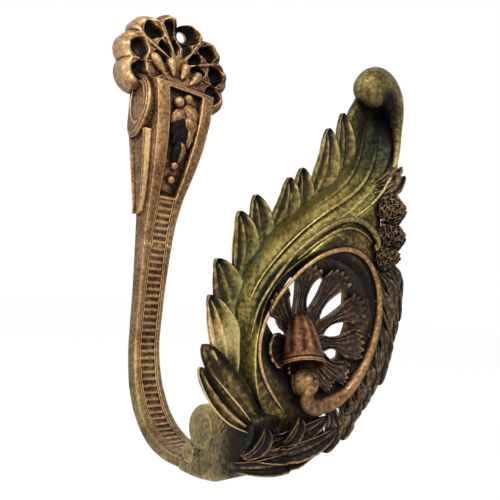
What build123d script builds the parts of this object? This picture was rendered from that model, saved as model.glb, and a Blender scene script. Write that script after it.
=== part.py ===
from build123d import *
import math
import os

# Curtain tieback hook, cast in one piece. The wall is the plane y = 0, the room lies towards -y
# and +z is up. The drawing has the arm's middle plane at x = 0, and the finished casting is
# shifted so that the screw hole's centre on the wall is the origin. All sizes are in millimetres.

# screw hole in the shell
HOLE_RADIUS = 2.5
HOLE_X = 6.5
HOLE_Z = 110.0

# scallop shell against the wall
SHELL_CENTRE_Z = 92.0
SHELL_DEPTH = 9.0
SHELL_REACH = 28.0
SHELL_LOBE_RADIUS = 8.2
SHELL_BEVEL = 1.6
SHELL_RIM = 2.0
LOBE_SIDES = 20
SHELL_HOLLOW = 5.4
SHELL_LOBE_ANGLES = (-112, -84, -52, -18, 18, 52, 84, 112)
SHELL_BOSSES = [(-10, 90.5), (-3.4, 91), (4, 91), (10.5, 89.5)]

# bracket below the shell
BRACKET_TOP_Z = 86.5
BRACKET_LIP_Z = 78.5
VOLUTE_HALF_WIDTH = 17.0
VOLUTE_BEAD = 0.8
EYE_SIDES = 24
TONGUE_HALF_WIDTH = 15.3
TONGUE_END_HALF_WIDTH = 9.3
TONGUE_END_Z = 24.0
GROOVE_DEPTH = 2.0
PANEL_DEPTH = 3.2
PANEL_HALF_WIDTH = 8.4
PANEL_END_HALF_WIDTH = 4.1
PANEL_END_Z = 31.5

# garland in the panel: berries (x, y, z, radius) and sprigs (root x, root z, tip x, tip z)
BERRIES = [(1.0, -20, 74, 2.4), (-3.4, -20, 71.5, 2.2), (0, -15.8, 44.5, 1.9), (0, -13.6, 38.6, 1.9)]
SPRIGS = [(0, 71, 6.5, 63), (0, 70, -5.5, 62), (2, 66, 5.5, 56), (0, 66, -3.5, 56), (0, 60, 1.5, 50)]
SPRIG_WIDTH = 4.4
SPRIG_Y = -19.3

# ladder of rungs down the arm's face, and the shares of the face's length where it starts and ends
LADDER_START = 0.30
LADDER_END = 0.86
LADDER_STEPS = 20
LADDER_HALF_WIDTH = 3.3
LADDER_GROOVE = 0.8
LADDER_DEPTH = 0.8
RUNG_PITCH = 3.0
RUNG_GROOVE = 0.6
RUNG_DEPTH = 0.6

# ornamental front plate: a bent sheet, cut from a slab that is larger all round
PLATE_Y = -92.0
PLATE_CENTRE_X = 10.0
PLATE_YAW = 12.0
PLATE_RADIUS = 220.0
PLATE_THICKNESS = 3.6
SLAB_LEFT = -30.0
SLAB_RIGHT = 60.0
SLAB_REACH = 90.0

# trough pressed into the plate: it runs up, bends round a centre and goes on to the upper right
TROUGH_DEPTH = 5.0
TROUGH_HALF_WIDTH = 11.5
TROUGH_X = -8.5
BEND_RADIUS = 40.0
BEND_Z = -12.9
BEND_ANGLE = 40.4
BEND_STEPS = 4
TOOL_SIDES = 36

# bowl pressed into the plate, with the palmette in it
BOWL_DEPTH = 6.5
BOWL_X = 18.0
BOWL_Z = -16.5
BOWL_RADIUS = 24.5
BOWL_TOOL_ANGLES = (0, 7, 14, 21, 28, 36, 46)

# round bodies are faceted: their sides, and the distance under which two corners are one
BUD_SIDES = 8
KNOB_SIDES = 12
SAME_PLACE = 1e-6

# mouldings, leaves and flowers on the plate
LEAF_THICKNESS = 3.4
LEAF_HOLLOW = 1.3
RING_RADIUS = 2.5
RING_LIFT = 1.5
ARCH_RADIUS = 1.9
BEAD_RADIUS = 1.3
MOULDING_STEP = 12.0
BALL_RADIUS = 5.4
HUB_RADIUS = 6.0
COLLAR_RADIUS = 1.2
PETAL_WIDTH = 5.6
ROLL_RADIUS = 7.4
ROLL_LIFT = 2.5
ROSE_HEIGHT = 6.0

# foot that joins the arm to the plate
FOOT_HALF_WIDTH = 9.5

# profile of the arm and bracket in the y-z plane, as arcs through three places each
FACE_ARCS = [((-22, 70), (-20.7, 53.8), (-13.5, 31)), ((-13.5, 31), (-9.8, 11), (-8.3, -12)),
             ((-8.3, -12), (-8.0, -26), (-9.6, -41)), ((-9.6, -41), (-17.8, -58), (-35, -68)),
             ((-35, -68), (-46, -69.6), (-57, -69))]
BACK_ARCS = [((0, 34), (-0.6, 0), (-1.4, -35)), ((-1.4, -35), (-10.4, -58.6), (-29, -72)),
             ((-29, -72), (-42.5, -73.9), (-57, -72.8))]

# half width of the arm, and the height at which it is reached
WIDTH_LINE = [(14.7, 80), (13.4, 65), (12.1, 53), (10.2, 41.5), (8.5, 31), (7.2, 12), (6.3, -9), (6.1, -35),
              (7.0, -55), (7.4, -78)]

# outline of the front plate's sheet in the x-z plane, without its leaf lobes
SHEET_OUTLINE = [(-8, -52), (-15, -38), (-18.5, -22), (-18.5, -6), (-14, 9), (-5, 20), (5, 31), (15, 43),
                 (23, 56), (29, 66), (38, 70), (46, 67), (48, 57), (46, 45), (41, 34), (43, 22), (46, 8),
                 (49, -10), (46, -27), (38, -40), (26, -50), (10, -58)]

# leaf lobes of the left edge: root x, root z, tip x, tip z, width
LEAF_LOBES = [(22, 36, 18, 57.5, 8.5), (15, 30, 11.5, 50.5, 6.5), (7, 19, 3.8, 35, 8), (0, 13, -3.6, 30.5, 6),
              (-8, 4, -12, 23.5, 8), (-13, -1, -18.5, 17.5, 6), (-17, -18, -24, 1.5, 7),
              (-16, -32, -26.5, -8, 6), (-9, -48, -26, -24.5, 8), (-6, -50, -25.5, -30, 5)]

# leaves and buds of the right edge and the bottom: root x, root z, tip x, tip z, width
RIGHT_LEAVES = [(38, 33, 55, 42, 5), (43, 8, 50, -6, 8), (45, 2, 54, -17, 8), (43, -18, 49, -37, 8),
                (38, -33, 44, -47, 8), (30, -40, 36, -54, 9), (20, -44, 30, -57, 9), (8, -46, 20, -60, 9)]

# roses of the right edge: x, z, radius
ROSES = [(44, 28, 5.5), (47, 19.5, 5.5), (45.5, 11.5, 4.6)]

# pierced slots of the palmette: direction in degrees, start, length, width; and the cut's depth range
SLOT_NEAR_Y = -70.0
SLOT_CUT = 50.0
SLOTS = [(150, 8, 10, 3.8), (117, 9, 13, 5), (84, 10, 17, 5.6), (55, 8, 17, 5.4), (23, 6, 14, 4.8), (-11, 6, 9, 4)]
PETAL_ANGLES = (168, 134, 100, 69, 40, 6, -28, -58)
PETAL_LENGTHS = (17, 21, 29, 29, 29, 26, 22, 19)
HUB_X = 10.0
HUB_Z = -24.0


def side_prism(edges, half_width):
    """A solid with the given y-z outline, as wide on each side of the middle plane as asked."""
    return extrude(Plane.YZ * make_face(edges), amount=half_width, both=True)


def front_prism(edges, depth):
    """A solid with the given x-z outline that runs from the wall out into the room."""
    return extrude(Plane.XZ * make_face(edges), amount=depth)


def mirrored_outline(half_points):
    """Closed outline through half widths and heights, the same on both sides of the middle plane."""
    left = [(-x, z) for x, z in reversed(half_points)]
    return Polyline(*half_points, *left, close=True)


def tapered_prism(top_half, top_z, bottom_half, bottom_z, depth):
    """A wedge seen from the front: one half width at the top and another at the bottom."""
    corners = [(top_half, top_z), (bottom_half, bottom_z), (-bottom_half, bottom_z), (-top_half, top_z)]
    return front_prism(Polyline(*corners, close=True), depth)


def sheet_front(x):
    """How far out the bent sheet's face lies at a place across it, before anything is pressed in."""
    along = x - PLATE_CENTRE_X
    return PLATE_Y - math.tan(math.radians(PLATE_YAW)) * along + along ** 2 / (2 * PLATE_RADIUS)


def trough_offset(x, z):
    """Distance of a place from the trough's middle line: a line, an arc and a second line."""
    across = x - TROUGH_X - BEND_RADIUS
    up = z - BEND_Z
    turn = math.radians(BEND_ANGLE)
    if up < 0:
        return x - TROUGH_X
    if math.atan2(up, -across) < turn:
        return BEND_RADIUS - math.hypot(across, up)
    return BEND_RADIUS + across * math.cos(turn) - up * math.sin(turn)


def plate_front(x, z):
    """How far out the front plate's face lies at a place, with the trough and the bowl pressed in."""
    trough = TROUGH_DEPTH * (1 - (trough_offset(x, z) / TROUGH_HALF_WIDTH) ** 2)
    reach = math.hypot(x - BOWL_X, z - BOWL_Z) / BOWL_RADIUS
    bowl = BOWL_DEPTH * (1 - reach ** 2)
    return sheet_front(x) + max(0.0, trough, bowl)


def on_plate(x, z, lift=0.0):
    """A point on the front plate, lifted towards the room."""
    return Vector(x, plate_front(x, z) - lift, z)


def plate_plane():
    """Plane that touches the bent sheet at the bowl: its x runs across the plate and its z to the room."""
    slope = (BOWL_X - PLATE_CENTRE_X) / PLATE_RADIUS - math.tan(math.radians(PLATE_YAW))
    return Plane(origin=(BOWL_X, sheet_front(BOWL_X), BOWL_Z), x_dir=(1, slope, 0), z_dir=(slope, -1, 0))


def faceted(rings):
    """A closed solid with flat faces between neighbouring rings of points, and a flat face at each end."""
    sides = []
    for near, far in zip(rings, rings[1:]):
        for i in range(len(near)):
            corners = [near[i - 1], near[i], far[i], far[i - 1]]
            if (near[i - 1] - near[i]).length < SAME_PLACE:
                corners = corners[1:]
            elif (far[i - 1] - far[i]).length < SAME_PLACE:
                corners = corners[:3]
            sides.append(Face(Wire.make_polygon(corners)))
    for ring in (rings[0], rings[-1]):
        if (ring[0] - ring[1]).length > SAME_PLACE:
            sides.append(Face(Wire.make_polygon(ring)))
    return Solid(Shell(sides))


def turned(start, end, profile, sides=BUD_SIDES):
    """A faceted body turned about the line between two points: shares of its length, and radii there."""
    axis = end - start
    frame = Plane(origin=start, x_dir=axis.cross(Vector(0, -1, 0)), z_dir=axis)
    rings = []
    for share, radius in profile:
        ring = []
        for i in range(sides):
            turn = 2 * math.pi * (i + 0.5) / sides
            ring.append(frame.from_local_coords(
                Vector(radius * math.cos(turn), radius * math.sin(turn), share * axis.length)))
        rings.append(ring)
    return faceted(rings)


def spindle(start, end, width, fullness=0.55):
    """A bud between two points, widest at a share of its length."""
    half = width / 2
    profile = [(0, 0), (fullness * 0.5, half * 0.8), (fullness, half), ((1 + fullness) / 2, half * 0.7), (1, 0)]
    return turned(start, end, profile)


def knob(centre, direction, radius, length):
    """A rounded knob about a direction through its centre."""
    half = direction.normalized() * (length / 2)
    profile = [(0, 0), (0.08, 0.55 * radius), (0.28, 0.9 * radius), (0.5, radius), (0.72, 0.9 * radius),
               (0.92, 0.55 * radius), (1, 0)]
    return turned(centre - half, centre + half, profile, KNOB_SIDES)


def leaf_outline(length, width):
    """Outline of a pointed leaf that lies along the x axis."""
    shares = (0.12, 0.3, 0.5, 0.7, 0.88)
    upper = [(length * t, width / 2 * math.sin(math.pi * t) ** 0.8) for t in shares]
    lower = [(x, -y) for x, y in reversed(upper)]
    return [(0, 0)] + upper + [(length, 0)] + lower


def blade(start, end, width):
    """A pointed leaf between two points: a plate with curved sides, hollowed along its middle."""
    axis = end - start
    length = axis.length
    half = width / 2
    across = axis.cross(Vector(0, -1, 0))
    flat = Plane(origin=start, x_dir=axis, z_dir=across.cross(axis))
    outline = Polyline(*leaf_outline(length, width), close=True)
    plate = extrude(flat * make_face(outline), amount=LEAF_THICKNESS / 2, both=True)
    top = flat.z_dir * (LEAF_THICKNESS / 2 + half * 0.4 - LEAF_HOLLOW)
    return plate - spindle(start + axis * 0.2 + top, start + axis * 0.93 + top, 0.8 * width)


def moulding(start, middle, end, radius, lift):
    """A faceted round moulding bent to an arc through three places of the plate."""
    places = [Vector(x - BOWL_X, z - BOWL_Z) for x, z in (start, middle, end)]
    arc = ThreePointArc(*places)
    steps = math.ceil(arc.length / arc.radius / math.radians(MOULDING_STEP))
    frame = plate_plane()
    rings = []
    for k in range(steps + 1):
        place = arc @ (k / steps)
        spoke = (place - arc.arc_center).normalized() * radius
        ring = []
        for i in range(BUD_SIDES):
            turn = 2 * math.pi * i / BUD_SIDES
            corner = place + spoke * math.cos(turn) + Vector(0, 0, lift + radius * math.sin(turn))
            ring.append(frame.from_local_coords(corner))
        rings.append(ring)
    return faceted(rings)


def arc_line(arcs):
    """A line of arcs through three places each, seen from the side."""
    return Wire([ThreePointArc(*arc) for arc in arcs])


def arm():
    """Bar of the bracket's face and the arm: the side profile cut to the width seen from the front."""
    face = arc_line(FACE_ARCS)
    back = arc_line(BACK_ARCS)
    lip = (FACE_ARCS[0][0][0] + 0.4, BRACKET_LIP_Z)
    top = Polyline(face @ 0, lip, (-3, BRACKET_TOP_Z), (0, BRACKET_TOP_Z), back @ 0)
    end = Line(face @ 1, back @ 1)
    widest = WIDTH_LINE[0][0]
    outline = [(widest + 0.4, BRACKET_TOP_Z + 2)] + WIDTH_LINE
    profile = side_prism(face.edges() + back.edges() + [end, top], widest + 5)
    return profile & front_prism(mirrored_outline(outline), 90)


def ladder_cuts():
    """Two long border grooves down the arm's face and the short grooves between its rungs."""
    face = arc_line(FACE_ARCS)
    span = LADDER_END - LADDER_START
    stations = [LADDER_START + span * i / LADDER_STEPS for i in range(LADDER_STEPS + 1)]
    outer = []
    inner = []
    for t in stations:
        place = face @ t
        tangent = face % t
        normal = Vector(-tangent.Y, tangent.X)
        outer.append(place - normal)
        inner.append(place + normal * LADDER_DEPTH)
    strip = make_face(Polyline(*outer, *reversed(inner), close=True))
    wide = extrude(Plane.YZ * strip, amount=LADDER_HALF_WIDTH + LADDER_GROOVE, both=True)
    cuts = [wide - Box(2 * LADDER_HALF_WIDTH, 200, 400)]
    count = int(span * face.length / RUNG_PITCH)
    for i in range(count):
        t = LADDER_START + (i + 0.5) * RUNG_PITCH / face.length
        place = face @ t
        tangent = face % t
        station = Plane(origin=(0, place.X, place.Y), x_dir=(1, 0, 0), z_dir=(0, tangent.X, tangent.Y))
        cuts.append(station * Box(2 * LADDER_HALF_WIDTH + 0.4, 2 * RUNG_DEPTH, RUNG_GROOVE))
    return cuts


def volutes():
    """Flat scroll on each side of the bracket, with a raised bead round its eye."""
    roll = ThreePointArc((-13.5, 61), (-17.9, 71), (-9, 83))
    edge = Polyline((-9, 83), (0, 84.5), (0, 54.5), (-3, 54), (-13.5, 61))
    disc = side_prism([roll, edge], VOLUTE_HALF_WIDTH)
    rings = []
    for half_width, half_height in ((6.4, 9.4), (5.2, 8.2)):
        turns = [2 * math.pi * i / EYE_SIDES for i in range(EYE_SIDES)]
        corners = [(half_width * math.cos(t) - 9.5, half_height * math.sin(t) + 70) for t in turns]
        rings.append(make_face(Polyline(*corners, close=True)))
    eye = Plane.YZ * (rings[0] - rings[1])
    return disc + extrude(eye, amount=VOLUTE_HALF_WIDTH + VOLUTE_BEAD, both=True)


def tongues():
    """Tapered tongue behind the rails, stepped out from the arm on both sides."""
    outline = Polyline((0, 58), (-15.8, 58), (-7, TONGUE_END_Z + 1.5), (-1.5, TONGUE_END_Z),
                       (0, TONGUE_END_Z + 2), close=True)
    wedge = tapered_prism(TONGUE_HALF_WIDTH, 58, TONGUE_END_HALF_WIDTH, TONGUE_END_Z, 30)
    return side_prism(outline, TONGUE_HALF_WIDTH + 1) & wedge


def rail_grooves():
    """Dark groove on each side, between the front rail and the tongue behind it."""
    outline = Polyline((-18.4, 64), (-16.8, 53), (-13.8, 41.5), (-10, 31), (-8.9, 27.5), (-7.4, 27.5),
                       (-15.6, 57), (-16, 64), close=True)
    core = tapered_prism(WIDTH_LINE[1][0] - GROOVE_DEPTH, 64, WIDTH_LINE[4][0] - GROOVE_DEPTH, 27, 40)
    return side_prism(outline, 25) - core


def panel():
    """Sunk panel between the two front rails."""
    d = PANEL_DEPTH
    outline = Polyline((-30, 76), (-21.8 + d, 76), (-21.9 + d, 64), (-20.6 + d, 53), (-17.5 + d, 41.5),
                       (-13.5 + d, PANEL_END_Z), (-30, PANEL_END_Z), close=True)
    wedge = tapered_prism(PANEL_HALF_WIDTH, 76, PANEL_END_HALF_WIDTH, PANEL_END_Z, 60)
    return side_prism(outline, PANEL_HALF_WIDTH + 1) & wedge


def garland():
    """Drop of berries, leaves and a bud that hangs in the sunk panel."""
    out = Vector(0, -1, 0.2)
    pieces = []
    for x, y, z, r in BERRIES:
        pieces.append(knob(Vector(x, y, z), out, r, 2 * r))
    for x1, z1, x2, z2 in SPRIGS:
        tip_y = SPRIG_Y + 0.1 * (SPRIGS[0][1] - z2)
        pieces.append(spindle(Vector(x1, SPRIG_Y, z1), Vector(x2, tip_y, z2), SPRIG_WIDTH))
    pieces.append(spindle(Vector(0, -17.4, 55), Vector(0, -15.2, 46), 4.8, 0.45))
    return pieces


def shell():
    """Scallop shell plate with a round hollow in every lobe and a drop hollow nearer its root."""
    outline = Pos(0, SHELL_CENTRE_Z) * RegularPolygon(SHELL_REACH - SHELL_LOBE_RADIUS + 1, LOBE_SIDES)
    cuts = []
    for angle in SHELL_LOBE_ANGLES:
        turn = math.radians(angle)
        way = Vector(math.sin(turn), 0, math.cos(turn))
        face = Vector(0, -SHELL_DEPTH, SHELL_CENTRE_Z)
        lobe = way * (SHELL_REACH - SHELL_LOBE_RADIUS + abs(angle) / 60)
        outline = outline + Pos(lobe.X, SHELL_CENTRE_Z + lobe.Z) * RegularPolygon(SHELL_LOBE_RADIUS, LOBE_SIDES)
        top = face + lobe + Vector(0, -0.1, 0)
        hollow = SHELL_LOBE_RADIUS - SHELL_RIM
        profile = [(0, hollow), (0.6, 0.72 * hollow), (1, 0)]
        cuts.append(turned(top, top + Vector(0, SHELL_HOLLOW, 0.01), profile, KNOB_SIDES))
        if abs(angle) < 100:
            cuts.append(spindle(face + way * 4.5, face + way * 15.5, 5.6, 0.7))
    plate = extrude(Plane.XZ * outline, amount=SHELL_DEPTH)
    rim = plate.faces().sort_by(Axis.Y)[0].outer_wire().edges()
    plate = chamfer(rim, SHELL_BEVEL) - cuts
    bosses = []
    for x, z in SHELL_BOSSES:
        bosses.append(knob(Vector(x, -SHELL_DEPTH, z), Vector(0, -1, 0.2), 3.4, 5.6))
    return plate + bosses


def bent_slab(thickness):
    """Part of the bent sheet as thick as asked, cut to the plate's outline."""
    low = SLAB_LEFT, sheet_front(SLAB_LEFT)
    middle = PLATE_CENTRE_X, sheet_front(PLATE_CENTRE_X)
    high = SLAB_RIGHT, sheet_front(SLAB_RIGHT)
    front = ThreePointArc(low, middle, high)
    back = Pos(0, thickness) * front
    band = make_face([front, Line(front @ 1, back @ 1), back, Line(back @ 0, front @ 0)])
    slab = extrude(Pos(0, 0, -SLAB_REACH) * band, amount=2 * SLAB_REACH)
    return slab & front_prism(Polyline(*SHEET_OUTLINE, close=True), 130)


def trough_tool(grow):
    """Round bar along the trough's middle line, that many millimetres thicker than the trough."""
    radius = (TROUGH_HALF_WIDTH ** 2 + TROUGH_DEPTH ** 2) / (2 * TROUGH_DEPTH)
    lift = radius - TROUGH_DEPTH
    centre = Vector(TROUGH_X + BEND_RADIUS - BOWL_X, BEND_Z - BOWL_Z)
    stations = [(0, -SLAB_REACH)]
    for k in range(BEND_STEPS + 1):
        stations.append((BEND_ANGLE * k / BEND_STEPS, 0))
    stations.append((BEND_ANGLE, SLAB_REACH))
    frame = plate_plane()
    rings = []
    for angle, onward in stations:
        spoke = Vector(-math.cos(math.radians(angle)), math.sin(math.radians(angle)))
        way = Vector(spoke.Y, -spoke.X)
        ring = []
        for i in range(TOOL_SIDES):
            turn = 2 * math.pi * (i + 0.5) / TOOL_SIDES
            reach = BEND_RADIUS + (radius + grow) * math.cos(turn)
            rise = Vector(0, 0, lift + (radius + grow) * math.sin(turn))
            ring.append(frame.from_local_coords(centre + spoke * reach + way * onward + rise))
        rings.append(ring)
    return faceted(rings)


def bowl_tool(grow):
    """Dish-shaped body that presses the bowl, that many millimetres bigger."""
    radius = (BOWL_RADIUS ** 2 + BOWL_DEPTH ** 2) / (2 * BOWL_DEPTH)
    centre = plate_plane().origin + plate_plane().z_dir * (radius - BOWL_DEPTH)
    profile = []
    for angle in BOWL_TOOL_ANGLES:
        turn = math.radians(angle)
        profile.append((1 - math.cos(turn), (radius + grow) * math.sin(turn)))
    return turned(centre - plate_plane().z_dir * (radius + grow), centre, profile, TOOL_SIDES)


def sheet():
    """Bent sheet of the front plate with its trough and its bowl pressed in, as thick all over."""
    thick = bent_slab(PLATE_THICKNESS + TROUGH_DEPTH + BOWL_DEPTH)
    plate = bent_slab(PLATE_THICKNESS)
    for tool in (trough_tool(PLATE_THICKNESS), bowl_tool(PLATE_THICKNESS)):
        plate = plate + (thick & tool)
    return plate - trough_tool(0) - bowl_tool(0)


def slots():
    """Through slots between the palmette's petals, pointed at both ends."""
    cuts = []
    for angle, start, length, width in SLOTS:
        turn = math.radians(angle)
        near = Vector(HUB_X + start * math.cos(turn), HUB_Z + start * math.sin(turn))
        hole = Pos(near) * Rot(0, 0, angle) * make_face(Polyline(*leaf_outline(length, width), close=True))
        cuts.append(Pos(0, SLOT_NEAR_Y, 0) * extrude(Plane.XZ * hole, amount=SLOT_CUT))
    return cuts


def palmette():
    """Fluted petals round a hub in the bowl, and the hub's collar."""
    pieces = []
    for angle, length in zip(PETAL_ANGLES, PETAL_LENGTHS):
        turn = math.radians(angle)
        root = on_plate(HUB_X + 3 * math.cos(turn), HUB_Z + 3 * math.sin(turn), 1.5)
        tip = on_plate(HUB_X + length * math.cos(turn), HUB_Z + length * math.sin(turn), 1.0)
        pieces.append(spindle(root, tip, PETAL_WIDTH, 0.8))
    foot = on_plate(HUB_X + 1, HUB_Z - 4, 4.5)
    mouth = on_plate(HUB_X - 1, HUB_Z + 3, -0.5)
    axis = mouth - foot
    collar = 2 * COLLAR_RADIUS / axis.length
    profile = [(-collar, HUB_RADIUS - 1), (-collar / 2, HUB_RADIUS + 0.6), (collar / 2, HUB_RADIUS + 0.6),
               (collar, HUB_RADIUS - 1), (1, HUB_RADIUS - 2)]
    pieces.append(turned(foot, mouth, profile, KNOB_SIDES))
    return pieces


def scrolls():
    """Ring that closes the bowl, its ball end, the arch above it and the bead down its left side."""
    ring = moulding((12, -42), (43.5, -14), (18, 9.5), RING_RADIUS, RING_LIFT)
    ring_end = knob(on_plate(18, 9.5, RING_LIFT), Vector(1, 0, 0), RING_RADIUS + 0.6, 7)
    ball = knob(on_plate(10.5, -38.5, RING_LIFT + 1.5), Vector(1, 0, 0.4), BALL_RADIUS, 2 * BALL_RADIUS)
    arch_side = moulding((-7, -32), (-7.5, -12), (3, 8.5), ARCH_RADIUS, 0)
    arch_top = moulding((3, 8.5), (22, 20), (39, 13.5), ARCH_RADIUS, 0)
    arch_knee = knob(on_plate(3, 8.5), Vector(1, 0, 1), ARCH_RADIUS + 0.3, 5)
    arch_end = knob(on_plate(39, 13.5, 0.6), Vector(1, 0, 0), ARCH_RADIUS + 0.9, 5)
    bead = moulding((3, -45), (-5, -22), (12, 8), BEAD_RADIUS, 0)
    return [ring, ring_end, ball, arch_side, arch_top, arch_knee, arch_end, bead]


def leaf():
    """Lobes of the leaf's left edge and the rolled-over tip at its top."""
    pieces = []
    for x1, z1, x2, z2, width in LEAF_LOBES:
        pieces.append(blade(on_plate(x1, z1, -1.5), on_plate(x2, z2, -2), width))
    start = on_plate(25.5, 70, ROLL_LIFT)
    end = on_plate(50.5, 56, ROLL_LIFT)
    pieces.append(knob((start + end) / 2, end - start, ROLL_RADIUS, (end - start).length))
    return pieces


def rose(x, z, radius):
    """Three tiers of five petals, each tier smaller, higher and turned half a step from the last."""
    tiers = []
    base = plate_plane()
    place = base.to_local_coords(on_plate(x, z, -1.5))
    for level, share in enumerate((1.0, 0.74, 0.44)):
        petals = RegularPolygon(radius * share, 5, rotation=36 * level)
        tiers.append(extrude(petals, amount=ROSE_HEIGHT * (level + 1) / 3))
    return [base * Pos(*place) * tier for tier in tiers]


def flowers():
    """Roses, leaves and buds along the right edge and under the ring."""
    pieces = []
    for x1, z1, x2, z2, width in RIGHT_LEAVES:
        pieces.append(blade(on_plate(x1, z1, -1.5), on_plate(x2, z2, -2.5), width))
    for x, z, radius in ROSES:
        pieces.extend(rose(x, z, radius))
    return pieces


def foot():
    """Thick foot that carries the plate on the end of the arm, with two rolled lobes at its heel."""
    under = ThreePointArc((-52, -73.2), (-74, -70.5), (-89, -58))
    front = Polyline((-89, -58), (-92, -50), (-90, -42), (-80, -43), (-66, -47.8))
    big_lobe = ThreePointArc((-66, -47.8), (-56.8, -54.5), (-59, -61.3))
    small_lobe = ThreePointArc((-59, -61.3), (-54.2, -65), (-57, -69.2))
    heel = Polyline((-57, -69.2), (-52, -70), (-52, -73.2))
    return side_prism([under, front, big_lobe, small_lobe, heel], FOOT_HALF_WIDTH)


def hook():
    """The whole casting, fused to one solid and shifted to its screw hole."""
    body = arm() - rail_grooves() + volutes() + tongues() - panel() - ladder_cuts()
    body = body + garland()
    wall_shell = shell()
    screw = Pos(HOLE_X, 0, HOLE_Z) * Rot(90, 0, 0) * Cylinder(HOLE_RADIUS, 60)
    plate = sheet() - slots()
    plate = plate + foot() + leaf() + flowers() + palmette() + scrolls()
    casting = body + wall_shell + plate - screw
    return Pos(-HOLE_X, 0, -HOLE_Z) * casting


os.makedirs("parts", exist_ok=True)
export_step(hook(), "parts/tieback_hook.step")
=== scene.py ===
import math
import bmesh
import bpy
import numpy as np
from mathutils import Matrix, Vector
from mathutils.bvhtree import BVHTree


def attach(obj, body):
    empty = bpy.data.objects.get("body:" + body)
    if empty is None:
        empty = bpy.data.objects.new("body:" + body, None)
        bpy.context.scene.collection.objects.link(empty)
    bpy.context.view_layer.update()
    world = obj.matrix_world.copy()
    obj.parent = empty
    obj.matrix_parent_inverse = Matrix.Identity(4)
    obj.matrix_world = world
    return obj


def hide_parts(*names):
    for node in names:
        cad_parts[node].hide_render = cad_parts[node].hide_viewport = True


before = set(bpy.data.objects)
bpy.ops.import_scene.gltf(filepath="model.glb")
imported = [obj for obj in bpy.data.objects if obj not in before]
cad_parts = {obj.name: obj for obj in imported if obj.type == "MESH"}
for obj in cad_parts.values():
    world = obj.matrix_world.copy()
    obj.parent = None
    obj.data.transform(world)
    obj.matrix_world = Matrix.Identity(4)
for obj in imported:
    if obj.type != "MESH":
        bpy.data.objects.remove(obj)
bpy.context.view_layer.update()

# The whole hook is one casting in brass, cast in sand and chased by hand. Everything below is drawn
# in millimetres with the arm's middle plane at x = 0 and the wall at y = 0, as the casting was laid
# out, and place() carries it to the frame, whose origin is the screw hole on the wall.
SCREW_HOLE = np.array([6.5, 0.0, 110.0])


def place(points):
    """Drawing millimetres, from the arm's middle plane and the wall, to metres from the screw hole."""
    return (points - SCREW_HOLE) / 1000.0


# The front plate is a bent sheet of cast brass. A trough sweeps up it to the upper right and grows
# broader on its way, and a bowl beside it holds the palmette. Both are chased smooth, with a few
# long veins, and olive and blue-green patina lies in them.
def smooth(low, high, t):
    """Smooth step from 0 at low to 1 at high: 3 s squared minus 2 s cubed."""
    s = np.clip((t - low) / (high - low), 0.0, 1.0)
    return s * s * (3.0 - 2.0 * s)


def bump(t, middle, width):
    """A bell of height 1 about middle: exp(-((t - middle) / width) squared)."""
    return np.exp(-((t - middle) / width) ** 2)


def dome(t):
    """A quarter circle from 1 at 0 down to 0 at 1: the root of 1 - t squared."""
    return np.sqrt(1 - np.clip(t, 0, 1) ** 2)


def same(value):
    """A patina, or a darkening of dirt and painted shade, that is the same all over a piece."""
    return lambda points: np.full(len(points), value)


def srgb(code):
    """A hex colour as linear numbers."""
    parts = [int(code[i:i + 2], 16) / 255.0 for i in (1, 3, 5)]
    return [c / 12.92 if c <= 0.04045 else ((c + 0.055) / 1.055) ** 2.4 for c in parts] + [1.0]


def add_node(material, kind, values=None, links=None, **settings):
    """Adds a shader node, sets its inputs by name or number and joins the given outputs to it."""
    node = material.node_tree.nodes.new("ShaderNode" + kind)
    for key, value in settings.items():
        setattr(node, key, value)
    for key, value in (values or {}).items():
        node.inputs[key].default_value = value
    for key, output in (links or {}).items():
        material.node_tree.links.new(output, node.inputs[key])
    return node


def ramp(material, fac, stops):
    """A colour ramp through (place, hex colour) stops."""
    node = add_node(material, "ValToRGB", links={"Fac": fac})
    while len(node.color_ramp.elements) < len(stops):
        node.color_ramp.elements.new(0.5)
    for element, (spot, code) in zip(node.color_ramp.elements, stops):
        element.position = spot
        element.color = srgb(code)
    return node.outputs["Color"]


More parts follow.
